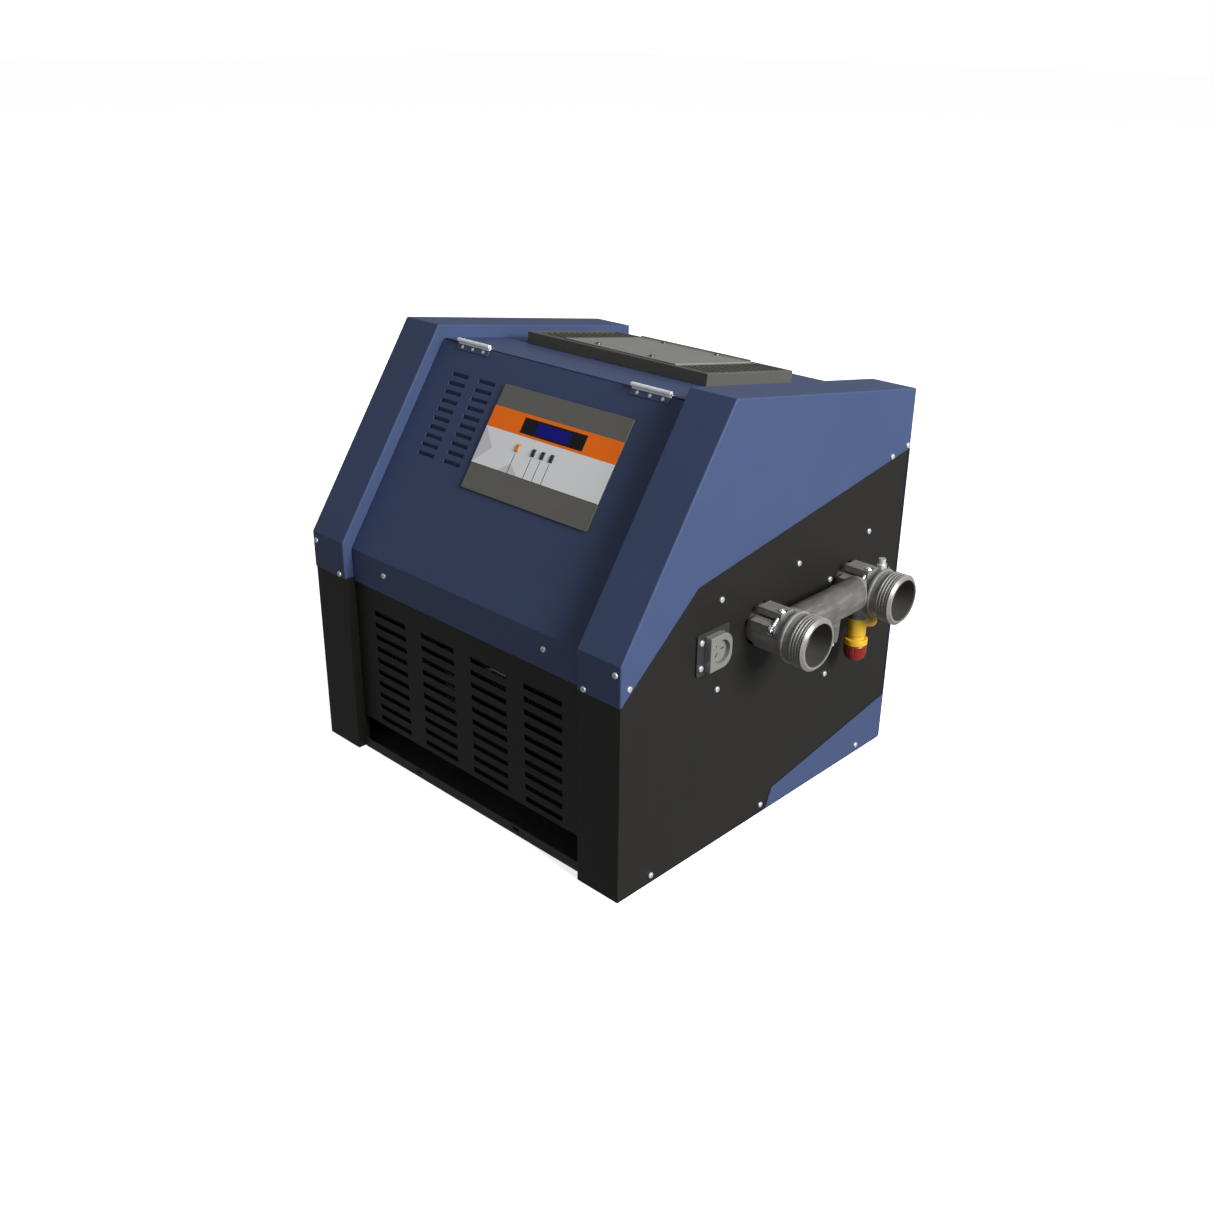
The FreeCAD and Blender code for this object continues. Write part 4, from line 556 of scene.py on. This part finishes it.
# %% Finish list
FINISHES = {
    cover_blue: ["cheek_cover_right", "cheek_cover_left", "rear_panel", "top_deck", "front_door"],
    tray_black: ["base_tray"],
    panel_black: ["side_panel_right", "side_panel_left", "front_louvre_panel"],
    flue_paint: ["flue_frame", "flue_grilles"],
    flue_plate: ["flue_cover_plate"],
    hinge_steel: ["hinge_fixed_leaves", "hinge_door_leaves", "hinge_pins"],
    zinc: ["door_screws", "cabinet_screws", "clamp_bolts", "bypass_spring", "port_sensor",
           "pump_socket_screws", "igniter", "drain_plug"],
    header_cast: ["water_header", "water_tank_right", "water_tank_left"],
    brass: ["bypass_poppet"],
    bezel_grey: ["control_bezel"],
    label_print: ["control_label"],
    lcd_glass: ["lcd_window"],
    circuit_green: ["display_module"],
    key_orange: ["key_power"],
    key_black: ["key_mode", "key_down", "key_up"],
    valve_yellow: ["relief_valve_body"],
    valve_red: ["relief_valve_knob"],
    socket_grey: ["pump_socket"],
    black_plastic: ["control_rear_cover", "pump_socket_flange", "pressure_switch", "gas_valve_knob", "terminal_block",
                    "cable_gland"],
    seal_rubber: ["stub_seals"],
    copper: ["exchanger_tubes", "exchanger_fins"],
    galvanised: ["flue_collector", "exchanger_frame", "combustion_chamber", "fan_housing", "fan_impeller"],
    dark_steel: ["flue_screws", "burner_tubes", "gas_manifold", "gas_inlet_pipe", "fan_motor", "transformer"],
    fibre_board: ["chamber_liner"],
    die_cast: ["gas_valve"],
}


def dress(node, material):
    slots = nodes[node].data.materials
    slots.clear()
    slots.append(material)


for material, names in FINISHES.items():
    for name in names:
        dress(name, material)
print("finished", sum(len(names) for names in FINISHES.values()), "of", len(nodes))

# %% [markdown]
# ## Floor finish
# The floor's white has a weak glow of its own, so it stays as pale as the backdrop while the heater still leaves a
# faint shadow on it.

# %% Floor finish
FLOOR_GLOW = 0.70
floor_finish = Finish("studio_floor", roughness=0.9)
floor_white = floor_finish.blend(floor_finish.noise(2.0), (0.93, 0.93, 0.93, 1.0), (0.95, 0.95, 0.95, 1.0))
floor_finish.set("Base Color", floor_white)
floor_finish.shader.inputs["Emission Color"].default_value = (1.0, 1.0, 1.0, 1.0)
floor_finish.shader.inputs["Emission Strength"].default_value = FLOOR_GLOW
floor.data.materials.append(floor_finish.material)
print("floor glows at", FLOOR_GLOW)

# %% [markdown]
# ## Rounded edges
# Folded sheet and moulded plastic never end in a perfectly sharp edge, and a thin line of light along each edge is what
# tells the eye so. A CAD mesh arrives as loose triangles. So a copy of each outer piece is merged and its flat
# triangles are dissolved, and then a Bevel modifier rounds every crease. Weighted normals keep the large faces flat,
# so only the rounding catches the light. The copy stands for the CAD node, which stays behind for collision.

# %% Rounded copies
SHEET_ROUNDING = 0.0007
FINE_ROUNDING = 0.0004
MERGE_DISTANCE = 0.00002
FLAT_ANGLE = math.radians(0.6)
CREASE_ANGLE = math.radians(30.0)
SMOOTH_ANGLE = math.radians(32.0)
ROUND_SMOOTH_ANGLE = math.radians(40.0)
body_of = {name: body for body, names in frame["record"]["behaviour"]["bodies"].items() for name in names}


def merged_copy(node, name):
    """A copy of a CAD node whose loose triangles are one surface, in the node's place."""
    bpy.ops.object.select_all(action="DESELECT")
    piece = bpy.data.objects.new(name, nodes[node].data.copy())
    bpy.context.scene.collection.objects.link(piece)
    piece.select_set(True)
    bpy.context.view_layer.objects.active = piece
    bpy.ops.object.mode_set(mode="EDIT")
    bpy.ops.mesh.select_all(action="SELECT")
    bpy.ops.mesh.remove_doubles(threshold=MERGE_DISTANCE)
    bpy.ops.mesh.dissolve_limited(angle_limit=FLAT_ANGLE)
    bpy.ops.object.mode_set(mode="OBJECT")
    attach(piece, body_of[node])
    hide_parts(node)
    return piece


def rounded(node, width):
    """A merged copy of a CAD node with every crease rounded."""
    piece = merged_copy(node, "rounded_" + node)
    edges = piece.modifiers.new("edges", "BEVEL")
    edges.width = width
    edges.segments = 2
    edges.limit_method = "ANGLE"
    edges.angle_limit = CREASE_ANGLE
    edges.use_clamp_overlap = False
    bpy.ops.object.modifier_apply(modifier=edges.name)
    bpy.ops.object.shade_smooth_by_angle(angle=SMOOTH_ANGLE)
    flat = piece.modifiers.new("flat faces", "WEIGHTED_NORMAL")
    flat.weight = 100
    flat.keep_sharp = True
    bpy.ops.object.modifier_apply(modifier=flat.name)


FOLDED_SHEET = ["cheek_cover_right", "cheek_cover_left", "rear_panel", "front_door", "top_deck", "base_tray",
                "side_panel_right", "side_panel_left", "flue_frame", "flue_cover_plate"]
FINE_EDGED = ["front_louvre_panel", "control_bezel", "pump_socket", "pump_socket_flange", "relief_valve_body",
              "hinge_fixed_leaves", "hinge_door_leaves", "gas_valve", "control_rear_cover", "transformer"]
for node in FOLDED_SHEET:
    rounded(node, SHEET_ROUNDING)
for node in FINE_EDGED:
    rounded(node, FINE_ROUNDING)
print("rounded", len(FOLDED_SHEET) + len(FINE_EDGED), "pieces")

# %% [markdown]
# ## Bypass spring
# The spring behind the bypass poppet closes up as the poppet lifts, so it can't simply stay still or follow. A merged
# copy stands for it, and the share of its length left at the joint's full travel is worked out, but no squash is
# applied.

# %% Spring
lift = next(j for j in frame["joints"] if j["name"] == "bypass_lift")
spring_low, spring_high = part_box("bypass_spring")
spring_length = spring_high[1] - spring_low[1]
spring = merged_copy("bypass_spring", "bypass_spring_coils")
bpy.ops.object.shade_smooth_by_angle(angle=ROUND_SMOOTH_ANGLE)
kept = (spring_length - lift["range_m"][1]) / spring_length
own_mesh(spring)
print("spring", round(spring_length, 4), "long, keeps", round(kept, 3))

# %% [markdown]
# ## Turned pieces
# A few small round parts finish the plumbing. They are made as on a lathe: a plane is merged to one point, the point is
# extruded along the profile, and the profile is spun. The spin leaves a seam and can turn the shape inside out, so
# doubles are merged and the normals are recalculated before the piece is turned to its axis.

# %% Lathe
LATHE_STEPS = 48
SEAM_MERGE = 0.00001
QUARTER = math.pi / 2
TURN_TO = {"+Z": (0.0, 0.0, 0.0), "-X": (0.0, -QUARTER, 0.0), "+Y": (-QUARTER, 0.0, 0.0)}


def turned(name, profile, centre, towards):
    """Spins (radius, height) points into a piece whose height runs from centre towards an axis."""
    bpy.ops.object.select_all(action="DESELECT")
    bpy.ops.mesh.primitive_plane_add(size=0.01, location=(0.0, 0.0, 0.0))
    piece = bpy.context.object
    piece.name = name
    bpy.ops.object.mode_set(mode="EDIT")
    bpy.ops.mesh.select_all(action="SELECT")
    bpy.ops.mesh.merge(type="CENTER")
    bpy.ops.transform.translate(value=(profile[0][0], 0.0, profile[0][1]))
    for (radius, height), (next_radius, next_height) in zip(profile, profile[1:]):
        move = (next_radius - radius, 0.0, next_height - height)
        bpy.ops.mesh.extrude_vertices_move(TRANSFORM_OT_translate={"value": move})
    bpy.ops.mesh.select_all(action="SELECT")
    bpy.ops.mesh.spin(steps=LATHE_STEPS, angle=math.tau, center=(0.0, 0.0, 0.0), axis=(0.0, 0.0, 1.0))
    bpy.ops.mesh.select_all(action="SELECT")
    bpy.ops.mesh.remove_doubles(threshold=SEAM_MERGE)
    bpy.ops.mesh.normals_make_consistent(inside=False)
    bpy.ops.object.mode_set(mode="OBJECT")
    piece.rotation_euler = TURN_TO[towards]
    piece.location = centre
    bpy.ops.object.transform_apply(location=True, rotation=True, scale=True)
    bpy.ops.object.shade_smooth_by_angle(angle=ROUND_SMOOTH_ANGLE)
    return piece


def finish_piece(piece, material, body):
    piece.data.materials.append(material)
    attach(piece, body)
    print(piece.name, len(piece.data.polygons), "faces, size", [round(side, 4) for side in piece.dimensions])


def middle_of(node):
    low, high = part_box(node)
    return [(a + b) / 2 for a, b in zip(low, high)]


# %% [markdown]
# ### Gas pipe grommet
# Where the gas pipe leaves the left side it passes through a rubber grommet, which grips the sheet in a groove and
# closes the clearance. Its lip slopes down to the pipe so that rain runs off.

# %% Grommet
gas_middle = middle_of("gas_inlet_pipe")
panel_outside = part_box("side_panel_left")[0][0]
sheet = 0.0015
grip = 0.01346
hole = 0.01535
lip = 0.0200
grommet_profile = [(grip, -0.0030), (lip - 0.0015, -0.0030), (lip, -0.0020), (lip, -0.0001), (hole, -0.0001),
                   (hole, sheet + 0.0001), (lip, sheet + 0.0001), (lip, sheet + 0.0014), (lip - 0.0012, sheet + 0.0024),
                   (grip + 0.0016, sheet + 0.0060), (grip, sheet + 0.0060), (grip, -0.0030)]
grommet = turned("gas_pipe_grommet", grommet_profile, (panel_outside + sheet, gas_middle[1], gas_middle[2]), "-X")
finish_piece(grommet, seal_rubber, "cabinet")

# %% [markdown]
# ### Sensor boss
# The small sensor on the rear port screws into a machined boss. The boss is a short ring with a chamfered mouth and a
# foot that spreads into the casting below it.

# %% Boss
sensor_middle = middle_of("port_sensor")
boss_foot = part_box("port_sensor")[0][2] - 0.004
boss_bore = 0.0093
boss_height = 0.0150
boss_profile = [(boss_bore, 0.0), (0.0150, 0.0), (0.0138, 0.0040), (0.0128, 0.0080), (0.0126, 0.0140),
                (0.0117, boss_height), (0.0100, boss_height), (boss_bore, 0.0143), (boss_bore, 0.0)]
boss = turned("sensor_boss", boss_profile, (sensor_middle[0], sensor_middle[1], boss_foot), "+Z")
finish_piece(boss, header_cast, "cabinet")

# %% [markdown]
# ### Relief valve outlet
# The valve's outlet ends in a flared rim that a drain hose pushes over. It is a hollow ring round the spout, widest
# just before its end.

# %% Outlet rim
relief_middle = middle_of("relief_valve_knob")
outlet = next(m["pos_m"] for m in frame["record"]["mounts"] if m["name"] == "relief_outlet")
rim_length = 0.0138
rim_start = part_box("relief_valve_body")[1][1] - rim_length
spout_radius = 0.0094
rim_radius = 0.0138
rim_profile = [(spout_radius, 0.0), (0.0105, 0.0008), (0.0126, 0.0082), (rim_radius, 0.0104), (rim_radius, 0.0130),
               (0.0132, rim_length), (spout_radius, rim_length), (spout_radius, 0.0)]
rim = turned("relief_outlet_rim", rim_profile, (relief_middle[0], rim_start, outlet[2]), "+Y")
finish_piece(rim, valve_yellow, "cabinet")
